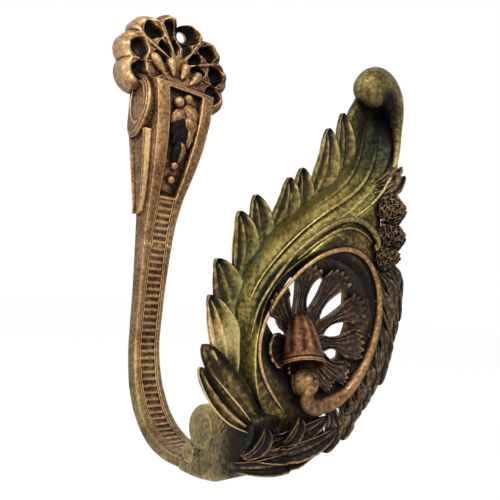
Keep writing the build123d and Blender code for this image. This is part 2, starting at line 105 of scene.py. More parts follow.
def bronze(name, recess, shade, body, worn, olive, blue, patina_share):
    """Aged cast brass: dark in the hollows, rubbed bright on the edges, patina in soft patches.

    The relief attribute says how hollow (0) or how proud (1) the surface is, lowered where shade is
    painted into the colour, and the patina attribute how much patina may lie there: olive, and
    blue-green above 0.55. Noise of 11.8 mm and 1.43 mm moves the tone, noise of 7.7 mm breaks the
    patina into patches, and noise of 1.43 mm and 0.43 mm gives the sand-cast grain, which is coarser
    than real sand so that it shows.
    """
    material = bpy.data.materials.new(name)
    material.use_nodes = True
    material.node_tree.nodes.clear()
    where = add_node(material, "TexCoord").outputs["Object"]
    relief_and_shade = add_node(material, "Attribute", attribute_name="relief_and_shade").outputs["Fac"]
    patina = add_node(material, "Attribute", attribute_name="patina").outputs["Fac"]
    # size in mm, detail and roughness of each
    noises = []
    for size, detail, rough in ((11.765, 4.0, 0.5), (1.4286, 3.0, 0.5), (0.43478, 2.0, 0.5),
                                (7.6923, 5.0, 0.65)):
        noise = add_node(material, "TexNoise", {"Scale": 1000 / size, "Detail": detail, "Roughness": rough},
                         {"Vector": where})
        noises.append(noise.outputs["Fac"])
    soft, fine, grit, cloud = noises
    tone = relief_and_shade
    for noise, reach in ((soft, 0.09), (fine, 0.13)):
        limits = {"From Min": 0.3, "From Max": 0.7, "To Min": -reach, "To Max": reach}
        drift = add_node(material, "MapRange", limits, {"Value": noise})
        tone = add_node(material, "Math", links={0: tone, 1: drift.outputs[0]}, operation="ADD").outputs[0]
    metal = ramp(material, tone, [(0.10, recess), (0.34, shade), (0.54, body), (0.86, worn)])
    olives, blues = [ramp(material, tone, [(0.12, recess), (0.38, dark), (0.75, light)])
                     for dark, light in (olive, blue)]
    turn = add_node(material, "MapRange", {"From Min": 0.55, "From Max": 0.95}, {"Value": patina})
    limits = {"From Min": 0.25, "From Max": 0.6, "To Min": 0.25 * patina_share, "To Max": 1.6 * patina_share}
    spread = add_node(material, "MapRange", limits, {"Value": cloud})
    share = add_node(material, "Math", links={0: spread.outputs[0], 1: patina}, operation="MULTIPLY",
                     use_clamp=True)
    aged = add_node(material, "Mix", data_type="RGBA", links={0: turn.outputs[0], 6: olives, 7: blues})
    colour = add_node(material, "Mix", data_type="RGBA",
                      links={0: share.outputs[0], 6: metal, 7: aged.outputs[2]})
    limits = {"From Min": 0.2, "From Max": 0.85, "To Min": 0.62, "To Max": 0.34}
    rough = add_node(material, "MapRange", limits, {"Value": tone})
    coarse = add_node(material, "Bump", {"Strength": 0.5, "Distance": 0.0005}, {"Height": fine})
    both = add_node(material, "Bump", {"Strength": 0.3, "Distance": 0.00015},
                    {"Height": grit, "Normal": coarse.outputs["Normal"]})
    shader = add_node(material, "BsdfPrincipled", {"Metallic": 0.7, "Specular IOR Level": 0.4},
                      {"Base Color": colour.outputs[2], "Roughness": rough.outputs[0],
                       "Normal": both.outputs["Normal"]})
    add_node(material, "OutputMaterial", links={"Surface": shader.outputs["BSDF"]})
    return material


def join_grids(grids):
    """Points and faces of several grids: each is (points by row and column, rows close, columns close)."""
    points = []
    faces = []
    start = 0
    for grid, close_rows, close_columns in grids:
        rows, columns = grid.shape[:2]
        index = start + np.arange(rows * columns).reshape(rows, columns)
        if close_rows:
            index = np.concatenate([index, index[:1]], 0)
        if close_columns:
            index = np.concatenate([index, index[:, :1]], 1)
        corners = (index[:-1, :-1], index[:-1, 1:], index[1:, 1:], index[1:, :-1])
        faces.append(np.stack([c.ravel() for c in corners], 1))
        points.append(grid.reshape(-1, 3))
        start += rows * columns
    return np.concatenate(points), np.concatenate(faces)


def mesh_arrays(mesh):
    """Vertices in metres and normals of a mesh, as rows."""
    spots = np.empty(len(mesh.vertices) * 3)
    mesh.vertices.foreach_get("co", spots)
    normals = np.empty(len(mesh.vertices) * 3)
    mesh.vertex_normals.foreach_get("vector", normals)
    return spots.reshape(-1, 3), normals.reshape(-1, 3)


def relief_of(mesh, reach):
    """How proud each vertex stands, 0 to 1.

    It is the mean of -2 d.n / d.d over a vertex's edges d and its normal n, averaged with its
    neighbours as many times as the reach says, and brought between 0 and 1 by a tanh.
    """
    spots, normals = mesh_arrays(mesh)
    spots = spots * 1000.0
    count = len(spots)
    ends = np.empty(len(mesh.edges) * 2, int)
    mesh.edges.foreach_get("vertices", ends)
    one, two = ends.reshape(-1, 2).T
    gap = spots[two] - spots[one]
    square = np.maximum((gap ** 2).sum(1), 1e-4)
    bend = np.bincount(one, -2 * (gap * normals[one]).sum(1) / square, count)
    bend += np.bincount(two, 2 * (gap * normals[two]).sum(1) / square, count)
    degree = np.maximum(np.bincount(one, minlength=count) + np.bincount(two, minlength=count), 1)
    bend = np.clip(bend / degree, -3.0, 3.0)
    for _ in range(reach):
        near = np.bincount(one, bend[two], count) + np.bincount(two, bend[one], count)
        bend = 0.5 * bend + 0.5 * near / degree
    return 0.5 + 0.5 * np.tanh(bend * 1.1)


casting = []


def cast_piece(name, grids, material, patina=same(0.0), shade_and_dirt=same(0.0), reach=4, contrast=1.0):
    """One piece of the casting from its grids, with how proud it stands less its painted shade and dirt,
    and how much patina it bears.
    """
    points, faces = join_grids(grids)
    mesh = bpy.data.meshes.new(name)
    mesh.from_pydata(place(points).tolist(), [], faces.tolist())
    work = bmesh.new()
    work.from_mesh(mesh)
    bmesh.ops.remove_doubles(work, verts=work.verts, dist=0.000004)
    bmesh.ops.recalc_face_normals(work, faces=work.faces)
    work.to_mesh(mesh)
    work.free()
    mesh.shade_smooth()
    spots = mesh_arrays(mesh)[0] * 1000.0 + SCREW_HOLE
    # the painted shade and the dirt are taken off how proud the surface stands
    relief_and_shade = 0.5 + (relief_of(mesh, reach) - 0.5) * contrast - shade_and_dirt(spots)
    for layer, values in (("relief_and_shade", relief_and_shade), ("patina", patina(spots))):
        mesh.attributes.new(layer, "FLOAT", "POINT").data.foreach_set("value", values)
    mesh.materials.append(material)
    piece = bpy.data.objects.new(name, mesh)
    bpy.context.scene.collection.objects.link(piece)
    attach(piece, "root")
    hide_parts("tieback_hook")
    casting.append(piece)
    return piece


def resampled(points, count, closed=True, rounds=None):
    """Evenly spaced points along the given ones, smoothed for some rounds.

    Each round moves a point to (before + 2 own + after) / 4.
    """
    points = np.array(points, float)
    loop = np.concatenate([points, points[:1]]) if closed else points
    steps = np.concatenate([[0], np.cumsum(np.linalg.norm(np.diff(loop, axis=0), axis=1))])
    t = np.linspace(0, steps[-1], count, endpoint=not closed)
    flat = np.stack([np.interp(t, steps, loop[:, k]) for k in range(loop.shape[1])], 1)
    for _ in range(rounds or max(3, (count // len(points)) ** 2 // 3)):
        if closed:
            flat = (np.roll(flat, 1, 0) + 2 * flat + np.roll(flat, -1, 0)) / 4
        else:
            flat[1:-1] = (flat[:-2] + 2 * flat[1:-1] + flat[2:]) / 4
    return flat


SHEET_DISTANCE = 92.0
SLANT = math.radians(12.0)
BEND_X = 10.0
BEND_RADIUS = 220.0
SHEET_THICKNESS = 3.2
# share of the trough's length, and its depth there
TROUGH_DEPTHS = ([0, 0.12, 0.4, 0.85, 1], [1.0, 3.6, 5.0, 5.0, 4.0])
BOWL = np.array([18.0, -16.5])
BOWL_RADIUS = 24.5
BOWL_DEPTH = 6.5
BOWL_OPENING = 23.0
# the trough's borders, as (x, z) from its foot to the leaf's tip
LEFT_BORDER = [(-3.5, -50), (-9.7, -40), (-13.2, -32), (-15.3, -20), (-15.6, -8), (-13.4, 3.3), (-6.5, 13),
               (3, 22), (12.4, 29.7), (20, 37.5), (25, 46), (27, 56), (27, 68)]
RIGHT_BORDER = [(0.5, -51), (-4.3, -43), (-7.1, -35), (-7.6, -22), (-5.5, -12), (-0.5, -3.3), (7.8, 5.5),
                (17.5, 14.2), (28, 22), (40, 30.5), (48, 40.5), (50, 50), (50, 62)]
TROUGH = resampled(np.column_stack([LEFT_BORDER, RIGHT_BORDER]), 241, False)
TROUGH_MIDDLE = (TROUGH[:, :2] + TROUGH[:, 2:]) / 2
TROUGH_ACROSS = np.gradient(TROUGH_MIDDLE, axis=0)[:, ::-1] * (1, -1)
TROUGH_ACROSS = TROUGH_ACROSS / np.linalg.norm(TROUGH_ACROSS, axis=1)[:, None]
TROUGH_HALF = ((TROUGH[:, 2:] - TROUGH[:, :2]) * TROUGH_ACROSS).sum(1) / 2


def trough_place(x, z):
    """Share along the trough from its foot, and offset across it: -1 at its left border, 1 at its right.

    The share is the mean of the middle line's places, each weighed by exp(-d squared / 8), so that
    it changes smoothly from place to place.
    """
    spots = np.stack([x.ravel(), z.ravel()], 1)
    places = np.arange(len(TROUGH_MIDDLE))
    gap = (spots ** 2).sum(1)[:, None] - 2 * spots @ TROUGH_MIDDLE.T + (TROUGH_MIDDLE ** 2).sum(1)[None]
    weight = np.exp((gap.min(1)[:, None] - gap) / 8.0)
    near = weight @ places / weight.sum(1)
    middle = np.stack([np.interp(near, places, TROUGH_MIDDLE[:, k]) for k in range(2)], 1)
    across = np.stack([np.interp(near, places, TROUGH_ACROSS[:, k]) for k in range(2)], 1)
    offset = ((spots - middle) * across).sum(1) / np.interp(near, places, TROUGH_HALF)
    return (near / places[-1]).reshape(x.shape), offset.reshape(x.shape)


def sheet_front(x):
    """Front of the bent sheet: a slant, plus (x - BEND_X) squared over twice the bend's radius."""
    along = x - BEND_X
    return -SHEET_DISTANCE - math.tan(SLANT) * along + along ** 2 / (2 * BEND_RADIUS)


def plate_front(x, z):
    """The sheet pressed in by the deeper of two hollows.

    The trough's is its depth there times (1 - offset squared) to the power 1.1, and the bowl's is
    its depth times (1 - reach squared).
    """
    share, offset = trough_place(x, z)
    trough = np.interp(share, *TROUGH_DEPTHS) * np.clip(1 - offset ** 2, 0, 1) ** 1.1
    reach = np.hypot(x - BOWL[0], z - BOWL[1]) / BOWL_RADIUS
    bowl = BOWL_DEPTH * np.clip(1 - reach ** 2, 0, 1)
    return sheet_front(x) + np.maximum(trough, bowl)


def on_plate(x, z, lift):
    """Points on the plate, lifted towards the room."""
    x, z, lift = np.broadcast_arrays(np.asarray(x, float), np.asarray(z, float), np.asarray(lift, float))
    return np.stack([x, plate_front(x, z) - lift, z], -1)


def ray_reach(outline, centre, angles):
    """How far a closed outline lies from a centre in each direction."""
    corners = np.array(outline, float) - centre
    around = np.arctan2(corners[:, 1], corners[:, 0])
    return np.interp(angles, around, np.hypot(corners[:, 0], corners[:, 1]), period=2 * math.pi)


def trough_patina(points):
    """Blue-green lies along the trough's left side halfway up, olive over the rest of it."""
    share, offset = trough_place(points[:, 0], points[:, 2])
    olive = 0.46 - 0.16 * bump(offset, 0.1, 0.4) * bump(share, 0.55, 0.25)
    olive = olive * smooth(1.5, 0.9, np.abs(offset))
    blue = bump(offset, -0.65, 0.45) * (bump(share, 0.36, 0.14) + 0.5 * bump(share, 0.68, 0.08))
    top = 0.3 * smooth(0.75, 0.9, share)
    return np.clip(olive + 0.55 * blue + top, 0, 1)


def trough_painted_shade(points):
    """Painted shade at the trough's foot, under its rolled tip, along its left border, right of it and
    round the bowl, and a painted highlight halfway up.
    """
    share, offset = trough_place(points[:, 0], points[:, 2])
    reach = np.hypot(points[:, 0] - BOWL[0], points[:, 2] - BOWL[1])
    beside = smooth(1.0, 1.2, offset) * (0.12 + 0.14 * smooth(32, 27, reach))
    bowl = 0.45 * smooth(26.0, 24.4, reach)
    upper = 0.5 * smooth(0.12, 0.0, share) + 0.26 * smooth(0.72, 0.92, share) - 0.10 * bump(share, 0.58, 0.14)
    return upper * smooth(1.4, 1.1, offset) + beside + bowl + 0.12 * bump(offset, -0.95, 0.2)


# place across the trough, where along it each starts and stops, and height
VEINS = [(0.30, 0.30, 0.94, 0.55), (-0.28, 0.60, 0.96, 0.40), (0.72, 0.55, 0.97, 0.45),
         (-0.62, 0.66, 0.9, 0.35)]
SHEET_EDGE = [(-6, -51), (-12, -41), (-16, -31), (-18, -18), (-18, -5), (-13.5, 6), (-4, 16.5), (7, 28),
              (15, 38), (21.5, 50), (23.8, 60), (28, 68), (35, 72), (43.5, 69), (48, 62.5), (49.6, 52),
              (47.2, 40), (40, 30), (42, 22), (43, 8), (44, -10), (40, -25), (33, -36), (23, -45), (9, -52)]


def sheet_grids():
    """The sheet round the bowl: a closed ring whose section runs out along the front and back behind.

    Each vein is a bell across the trough with a groove at its right, on a line that wanders as a sine.
    """
    angles = np.linspace(0, 2 * math.pi, 900, endpoint=False)[:, None]
    outer = ray_reach(resampled(SHEET_EDGE, 300), BOWL, angles)
    radius = BOWL_OPENING + (outer - BOWL_OPENING) * np.linspace(0, 1, 120)[None, :]
    x = BOWL[0] + radius * np.cos(angles)
    z = BOWL[1] + radius * np.sin(angles)
    share, offset = trough_place(x, z)
    inside = smooth(1.05, 0.9, np.abs(offset))
    lift = np.zeros_like(x)
    for middle, start, stop, height in VEINS:
        wander = offset - middle - 0.06 * np.sin(share * 14 + middle * 9)
        fade = smooth(start, start + 0.12, share) * smooth(stop, stop - 0.08, share)
        lift += height * (bump(wander, 0.0, 0.04) - 0.5 * bump(wander, 0.10, 0.06)) * fade
    lift += 0.25 * np.cos(offset * 8.0) * inside * smooth(0.4, 0.7, share)
    front = on_plate(x, z, lift)
    back = on_plate(x, z, -SHEET_THICKNESS)
    rim = on_plate(x[:, -1:], z[:, -1:], -SHEET_THICKNESS / 2)
    return [(np.concatenate([front[:, :-1], rim, back[:, ::-1]], 1), True, True)]


# green-brown metal with soft olive and blue-green patches and a dull yellow shine where it is proud
trough_bronze = bronze("olive_patinated_bronze", "#0D0B06", "#3A2F14", "#8B7136", "#D2B36C",
                       ("#4C4E20", "#9A9450"), ("#2C4030", "#6A8660"), 0.9)
# the sheet gets painted shade under the tip and in the bowl, and a painted highlight halfway up
cast_piece("plate_sheet", sheet_grids(), trough_bronze, trough_patina, trough_painted_shade)


# The leaf's left edge is four pairs of long fingers with a rounded band below, laid over each other.
# Each is a hollow, fluted blade, cast as it grows out of the trough's border, its rim rubbed bright.
def leaf(root, tip, width, lift, bow=0.0, turn=None, cup=1.0, flutes=2.5, depth=0.3, thickness=1.8, stem=0.5,
         point=0.62, ruffle=0.0, base=on_plate, rows=44, columns=25):
    """A closed blade on a surface.

    Its middle line is the parabola from root to tip whose end tangents meet at turn, or beside the
    middle by twice the bow. The half width grows from the stem's share to full at 0.5 and closes as
    (1 - t squared) to the power point. Its height is a parabola through the three lifts along u,
    plus the cup times (v squared - 0.3), plus cosine flutes that fade at the ends, plus a bead on
    the rim that is 0.04 of the width.
    """
    root, tip = np.array(root, float), np.array(tip, float)
    u = np.sin(np.linspace(0, math.pi / 2, rows))[:, None]
    v = np.sin(np.linspace(-math.pi / 2, math.pi / 2, columns))[None, :]
    run = tip - root
    side = np.array([-run[1], run[0]]) / np.hypot(*run)
    turn = (root + tip) / 2 + side * 2 * bow if turn is None else np.array(turn, float)
    line = (1 - u) ** 2 * root + 2 * u * (1 - u) * turn + u ** 2 * tip
    way = 2 * (1 - u) * (turn - root) + 2 * u * (tip - turn)
    way = way / np.linalg.norm(way, axis=1)[:, None]
    half = width / 2 * (stem + (1 - stem) * smooth(0, 0.5, u))
    half = half * np.clip(1 - np.clip((u - 0.5) / 0.5, 0, 1) ** 2, 0, 1) ** point
    half = half * (1 + ruffle * np.cos(u * math.pi * 9))
    x = line[:, :1] - way[:, 1:] * half * v
    z = line[:, 1:] + way[:, :1] * half * v
    low, middle, high = lift
    rise = low * (1 - u) * (1 - 2 * u) + middle * 4 * u * (1 - u) + high * u * (2 * u - 1)
    fade = smooth(0, 0.25, u) * smooth(1.0, 0.85, u)
    grooves = depth * np.cos(v * math.pi * flutes) * fade
    rim = 0.04 * width * bump(np.abs(v), 0.88, 0.10) * fade
    height = rise + cup * (v ** 2 - 0.3) * smooth(0, 0.3, u) + grooves + rim
    body = thickness * dome(np.abs(v)) * dome(1 - u / 0.06) * dome(u ** 3)
    return [(base(x, z, height), False, False), (base(x, z, height - body), False, False)]


def lobe_patina(points):
    """Fingers carry olive near their roots."""
    share, offset = trough_place(points[:, 0], points[:, 2])
    return 0.5 * smooth(-3.6, -1.2, offset) + 0.2 * bump(share, 0.36, 0.12) * smooth(-2.0, -1.0, offset)


def finger_shade_offset(points):
    """A little darker, and lighter towards the leaf's foot, taking back some painted shade of the hollows."""
    return 0.05 - 0.27 * smooth(-6, -22, points[:, 2])


# root, turn, tip, width and height of each finger, from the top of the leaf to its foot
FINGERS = [((11, 23), (23.5, 38), (16.6, 57), 10.5, 1.6), ((5, 20.5), (14.5, 34), (10.2, 50), 10.0, 2.6),
           ((-3, 13), (6, 22), (1.9, 35), 9.5, 1.6), ((-8, 9), (-0.5, 18), (-3.2, 30.8), 9.0, 2.6),
           ((-13, 1), (-8, 11), (-13.6, 23.6), 9.5, 1.6), ((-16, -5), (-13.5, 6), (-18.9, 17.6), 9.0, 2.6),
           ((-16.5, -24), (-17, -8), (-24.2, 2.2), 10.5, 1.8),
           ((-15.5, -37), (-18.5, -22), (-26, -9), 10.0, 2.8)]


def on_finger(x, z, height):
    """A finger's surface, which dives under the trough's left border."""
    share, offset = trough_place(x, z)
    return on_plate(x, z, height - 3.4 * smooth(-1.15, -0.75, offset))


def finger_grids():
    """Every finger, and the rounded band that runs down to the trough's foot."""
    grids = []
    for root, turn, tip, width, height in FINGERS:
        grids += leaf(root, tip, width, (-0.6, height, height + 0.6), turn=turn, cup=1.6, flutes=3.0,
                      depth=0.42, thickness=2.6, stem=0.55, point=0.72, base=on_finger)
    grids += leaf((-1.5, -51.5), (-26.3, -24), 8.5, (0.6, 2.8, 3.4), turn=(-16, -41), cup=1.5, flutes=2.0,
                  depth=0.4, thickness=3.0, stem=0.2, point=0.42)
    grids += leaf((-4, -52), (-26, -31), 6.5, (0.4, 1.8, 2.0), turn=(-18, -46), cup=1.0, flutes=2.0,
                  depth=0.4, thickness=3.0, stem=0.3, point=0.5)
    return grids


# brown metal, painted nearly black for the shade in its flutes and rubbed to pale gold along its rims
lobe_bronze = bronze("worn_brown_bronze", "#0B0805", "#2A2010", "#6E562C", "#D0B27E",
                     ("#3A391B", "#8F8848"), ("#33422C", "#76875A"), 0.9)
cast_piece("leaf_fingers", finger_grids(), lobe_bronze, lobe_patina, finger_shade_offset, contrast=0.65)


# The leaf's tip rolls over towards the room as a smooth hood. Its right end runs on down the plate's
# right edge as a rolled rim. Both are cast with the plate and rubbed bright on their crowns.
def scroll(path, width, height, columns=28):
    """A moulding along (x, y, z) points, at each an oval of that width and height."""
    path = np.array(path, float)
    step = np.gradient(path, axis=0)
    step = step / np.linalg.norm(step, axis=1)[:, None]
    side = np.cross(step, (0.0, -1.0, 0.0))
    side = side / np.linalg.norm(side, axis=1)[:, None]
    around = np.linspace(0, 2 * math.pi, columns, endpoint=False)[None, :, None]
    width = np.broadcast_to(width, len(path))[:, None, None] / 2
    height = np.broadcast_to(height, len(path))[:, None, None] / 2
    out = np.array([0.0, -1.0, 0.0])
    rings = path[:, None] + np.cos(around) * width * side[:, None] + np.sin(around) * height * out
    return [(rings, False, True)]


def surface_path(points, count, lift):
    """A smooth line through (x, z) points, lying on the bent sheet and lifted towards the room."""
    line = resampled(points, count, False)
    return np.stack([line[:, 0], sheet_front(line[:, 0]) - lift, line[:, 1]], 1)


HOOD_LINE = [(27.2, 64), (29.2, 69), (33.6, 72.2), (38.6, 71), (42.8, 67), (46, 61.6), (47.8, 55),
             (48.2, 49), (46.5, 42), (42.6, 35), (37.6, 29.4), (31, 24.2), (24, 19.5)]


def hood_grids():
    """The hood and its rim: one moulding that is broad over the tip and thins as it runs down the edge."""
    count = 260
    t = np.linspace(0, 1, count)
    marks = [0, 0.10, 0.20, 0.30, 0.38, 0.5, 0.7, 1.0]
    widths, heights = [12.5, 15.0, 13.6, 8.2, 4.2, 2.2, 1.4, 0.6], [9.0, 10.0, 10.0, 7.6, 4.4, 2.4, 1.4, 0.6]
    mean = np.ones(31) / 31
    width, height = (np.convolve(np.pad(np.interp(t, marks, part), 15, mode="edge"), mean, "valid")
                     for part in (widths, heights))
    cap = dome(1 - t / 0.055)
    lift = np.interp(t, [0, 0.3, 0.4, 1.0], [1.4, 1.0, 0.3, 0.1])
    return scroll(surface_path(HOOD_LINE, count, lift), width * cap, height * cap, 48)


def hood_painted_shade(points):
    """Painted shade on the hood's underside, and the hood a little darker all over."""
    line = resampled(HOOD_LINE, 60, False)
    gap = np.hypot(points[:, :1] - line[None, :, 0], points[:, 2:] - line[None, :, 1])
    near = gap.argmin(1)
    below = line[near, 1] - points[:, 2] + 0.5 * (line[near, 0] - points[:, 0])
    return 0.10 + 0.42 * smooth(0.0, 4.5, below) * (near < 30)


cast_piece("leaf_hood", hood_grids(), lobe_bronze, same(0.42), hood_painted_shade)


# The palmette fills the bowl: fluted petals with scalloped ends spread from a red-brown cup, with
# slots pierced between their stems, and a smooth band, painted dark for its shade, lies between
# their ends and the ring.
HUB = np.array([13.5, -24.0])
RING_MIDDLE = np.array([17.5, -16.5])
RING_RADIUS = 24.6
# direction in degrees, start from the hub, length and width of each slot pierced through the bowl
SLOTS = [(154, 12.0, 7.0, 3.2), (112, 11.5, 12.5, 4.0), (82, 12.0, 12.5, 5.0), (51, 11.5, 14.5, 4.8),
         (22, 10.0, 11.0, 4.4), (-14, 9.5, 7.0, 3.8)]
# direction and length of each petal
PETALS = [(188, 17), (133, 23), (97, 27.5), (66, 28.5), (36, 27.5), (4, 24), (-34, 19.5), (-62, 16.5),
          (-90, 14), (-125, 12.5)]


def ring_reach(angles):
    """Distance d from the hub to the ring's circle: the root of |hub + d way - middle| = radius."""
    way = np.stack([np.cos(angles), np.sin(angles)], -1)
    gap = HUB - RING_MIDDLE
    dot = way @ gap
    return -dot + np.sqrt(dot ** 2 - gap @ gap + RING_RADIUS ** 2)


def slot_edge(slot, radius):
    """Half the angle of a slot at a radius: half its width times sin(pi t) to 0.7, over the radius."""
    angle, start, length, width = slot
    t = np.clip((radius - start) / length, 0, 1)
    return width / 2 * np.sin(math.pi * t) ** 0.7 / radius


# where the band round the slots begins: direction in degrees and distance from the hub
BAND_START = [(-180, 6), (-125, 5), (-60, 8), (-40, 9), (-14, 16.7), (4, 17), (22, 21.2), (36, 22),
              (51, 26.2), (66, 24), (82, 24.7), (97, 23), (112, 24.2), (133, 18), (154, 19.2), (168, 12),
              (180, 6)]


def rim_grids():
    """Bowl outside the slots: a closed band from the slots' far ends to the ring."""
    angles = np.linspace(-math.pi, math.pi, 480, endpoint=False)
    marks, starts = np.array(BAND_START).T
    inner = np.interp(angles, np.radians(marks), starts)
    outer = ring_reach(angles)
    share = np.linspace(0, 1, 24)[None, :]
    radius = inner[:, None] + (np.maximum(outer, inner + 1) - inner)[:, None] * share
    x = HUB[0] + radius * np.cos(angles)[:, None]
    z = HUB[1] + radius * np.sin(angles)[:, None]
    return [(np.concatenate([on_plate(x, z, -0.3), on_plate(x, z, -2.8)[:, ::-1]], 1), True, True)]


def petal_grids():
    """Petals: patches about the hub whose sides follow the slots, with cosine flutes and scallops."""
    grids = []
    v = np.sin(np.linspace(-math.pi / 2, math.pi / 2, 41))[None, :]
    for k, (angle, length) in enumerate(PETALS):
        u = np.linspace(0, 1, 56)[:, None]
        end = length * (1 - 0.10 * v ** 2 + 0.020 * np.cos(v * math.pi * 5))
        radius = 3.0 + (end - 3.0) * u
        before = PETALS[k - 1][0] + 360 * (k == 0)
        after = PETALS[(k + 1) % len(PETALS)][0] - 360 * (k == len(PETALS) - 1)
        upper = np.radians((before - angle) / 2)
        lower = np.radians((angle - after) / 2)
        for slot in SLOTS:
            near = np.radians(slot[0] - angle)
            if 0 < near < 0.6:
                upper = np.minimum(upper, near - slot_edge(slot, radius))
            if -0.6 < near < 0:
                lower = np.minimum(lower, -near - slot_edge(slot, radius))
        waist = 1 - 0.12 * smooth(0.75, 1.0, u)
        turn = math.radians(angle) + np.where(v > 0, upper * v, lower * v) * waist
        x = HUB[0] + radius * np.cos(turn)
        z = HUB[1] + radius * np.sin(turn)
        fade = smooth(0, 0.3, u)
        height = 0.3 + 1.5 * u ** 2 + 0.9 * (v ** 2 - 0.4) * fade
        height += 0.2 * np.cos(v * math.pi * 5) * smooth(0.2, 0.6, u)
        height += 0.3 * bump(np.abs(v), 0.85, 0.1) * fade + 0.6 * bump(u, 0.95, 0.04)
        body = 2.8 * dome(v ** 2) * dome(u ** 6) * smooth(0, 0.05, u)
        grids += [(on_plate(x, z, height), False, False), (on_plate(x, z, height - body), False, False)]
    return grids


def lathe(centre, axis, profile, columns=48):
    """A turned form about an axis: rows of (height, radius) in millimetres, closed at both ends."""
    axis = np.array(axis, float) / np.linalg.norm(axis)
    across = np.cross(axis, (0.3, 0.2, 1.0))
    across = across / np.linalg.norm(across)
    other = np.cross(axis, across)
    around = np.linspace(0, 2 * math.pi, columns, endpoint=False)[None, :, None]
    height = np.array([p[0] for p in profile])[:, None, None]
    radius = np.array([p[1] for p in profile])[:, None, None]
    points = np.array(centre) + axis * height + radius * (np.cos(around) * across + np.sin(around) * other)
    return [(points, False, True)]


def cup_grids():
    """The cup: a trunk that leaves the bowl and opens as a bell with a rolled rim and a hollow mouth."""
    foot = on_plate(12.0, -15.5, 0.2)
    mouth = on_plate(9.4, -30.0, 4.4)
    axis = mouth - foot
    length = np.linalg.norm(axis)
    share = np.linspace(0, 1, 60)
    radius = 3.4 + 4.2 * share ** 0.6 + 0.3 * bump(share, 0.97, 0.02) - 0.15 * bump(share, 0.92, 0.02)
    rows = [(-1.9, 0.0), (-1.7, 1.2), (-1.1, 2.4)] + [(length * s, r) for s, r in zip(share, radius)]
    rows += [(length + 0.3, 7.7), (length + 0.4, 7.2), (length + 0.1, 6.9), (length - 2.5, 6.4),
             (length - 4.5, 4.5), (length - 5.0, 0.0)]
    bell = lathe(foot, axis, rows, 96)[0][0]
    middle = foot + axis * (np.array([r[0] for r in rows]) / length)[:, None, None]
    around = np.linspace(0, 2 * math.pi, 96, endpoint=False)[None, :, None]
    fade = smooth(0.95, 0.6, np.array([r[0] for r in rows]) / length)[:, None, None]
    return [(middle + (bell - middle) * (1 + 0.05 * np.cos(around * 9) * fade), False, True)]


# metal painted dark for the shade on the parts at the right, in and under the ring and under the
# plate, seen by its brown highlights alone, and a warmer red-brown one for the cup
painted_shade_bronze = bronze("painted_shade_bronze", "#060504", "#140F0A", "#33261A", "#8E7048",
                     ("#23231A", "#55503A"), ("#28332A", "#566450"), 0.4)
cup_bronze = bronze("red_brown_bronze", "#0A0604", "#24140B", "#5E3A20", "#A57A4E",
                    ("#332A18", "#6C5A38"), ("#33402C", "#6C7A52"), 0.3)
# the band and the petals inside the ring take the metal painted dark for shade
cast_piece("bowl_rim", rim_grids(), painted_shade_bronze, reach=2, contrast=0.7)
cast_piece("palmette_petals", petal_grids(), painted_shade_bronze, reach=2, contrast=0.6)
cast_piece("palmette_cup", cup_grids(), cup_bronze, reach=2, contrast=0.8)


# A C-scroll closes the bowl: it curls up into a ball at its foot, runs round the right side, thins
# over the top and comes down the left side as a string. A second scroll arches over it. Both are
# cast proud of the plate and rubbed by hands.
RING_LINE = [(11.5, -43.2), (16, -43.8), (22, -42.8), (29, -39.2), (36.3, -31), (41.5, -21), (43.6, -10.5),
             (42, -1.5), (37, 6.5), (30, 10.4), (22.6, 10.4), (13.7, 7), (6.2, 1.3), (-0.7, -6.9),
             (-5.6, -15.9), (-7, -24), (-5.6, -32), (-1.5, -39), (3.7, -45)]


def ring_grids():
    """The ring, broad and round near the ball, thin over the top and down the left."""
    count = 320
    t = np.linspace(0, 1, count)
    width = np.interp(t, [0, 0.05, 0.12, 0.2, 0.3, 0.42, 0.52, 0.65, 0.97, 1.0],
                      [5.4, 5.6, 4.6, 3.4, 2.8, 2.3, 1.8, 1.4, 1.2, 0.2])
    cap = dome(1 - t / 0.02)
    lift = np.interp(t, [0, 0.1, 0.4, 0.6, 1.0], [2.0, 1.2, 0.6, 0.4, 0.3])
    return scroll(surface_path(RING_LINE, count, lift), width * cap, 0.9 * width * cap)


def ball_grids():
    """The ring's ball end: a sphere with a spiral line, joined to the ring by a short rising curl."""
    centre = on_plate(8.9, -35.6, 4.4)
    around = np.linspace(0, 2 * math.pi, 72, endpoint=False)[None, :]
    tip = np.linspace(0, math.pi, 44)[:, None]
    radius = 4.6 - 0.5 * bump(np.mod(tip * 3.4 + around, 2 * math.pi), math.pi, 0.4) * smooth(0.2, 0.6, tip)
    x = radius * np.sin(tip) * np.cos(around)
    z = radius * np.sin(tip) * np.sin(around)
    y = -radius * np.cos(tip) + 0 * around
    ball = [(centre + np.stack([x, y, z], -1), False, True)]
    line = [(15.5, -43.6), (11.0, -43.4), (8.0, -41.0), (7.4, -38.0), (8.6, -35.6)]
    count = 50
    t = np.linspace(0, 1, count)
    width = np.interp(t, [0, 0.5, 1], [5.8, 5.2, 3.6]) * dome((t - 0.9) / 0.1)
    curl = surface_path(line, count, np.interp(t, [0, 0.5, 1], [2.4, 4.6, 6.5]))
    return ball + scroll(curl, width, 0.9 * width)


ARCH_LINE = [(-9.5, -22), (-8, -12), (-3.5, -3.5), (3.6, 7.0), (11.5, 14.0), (20, 19.6), (27, 21.6),
             (33.5, 20.4), (38.5, 17.2), (40.6, 13.2), (39.2, 10.4), (37.0, 11.6), (37.6, 13.4)]


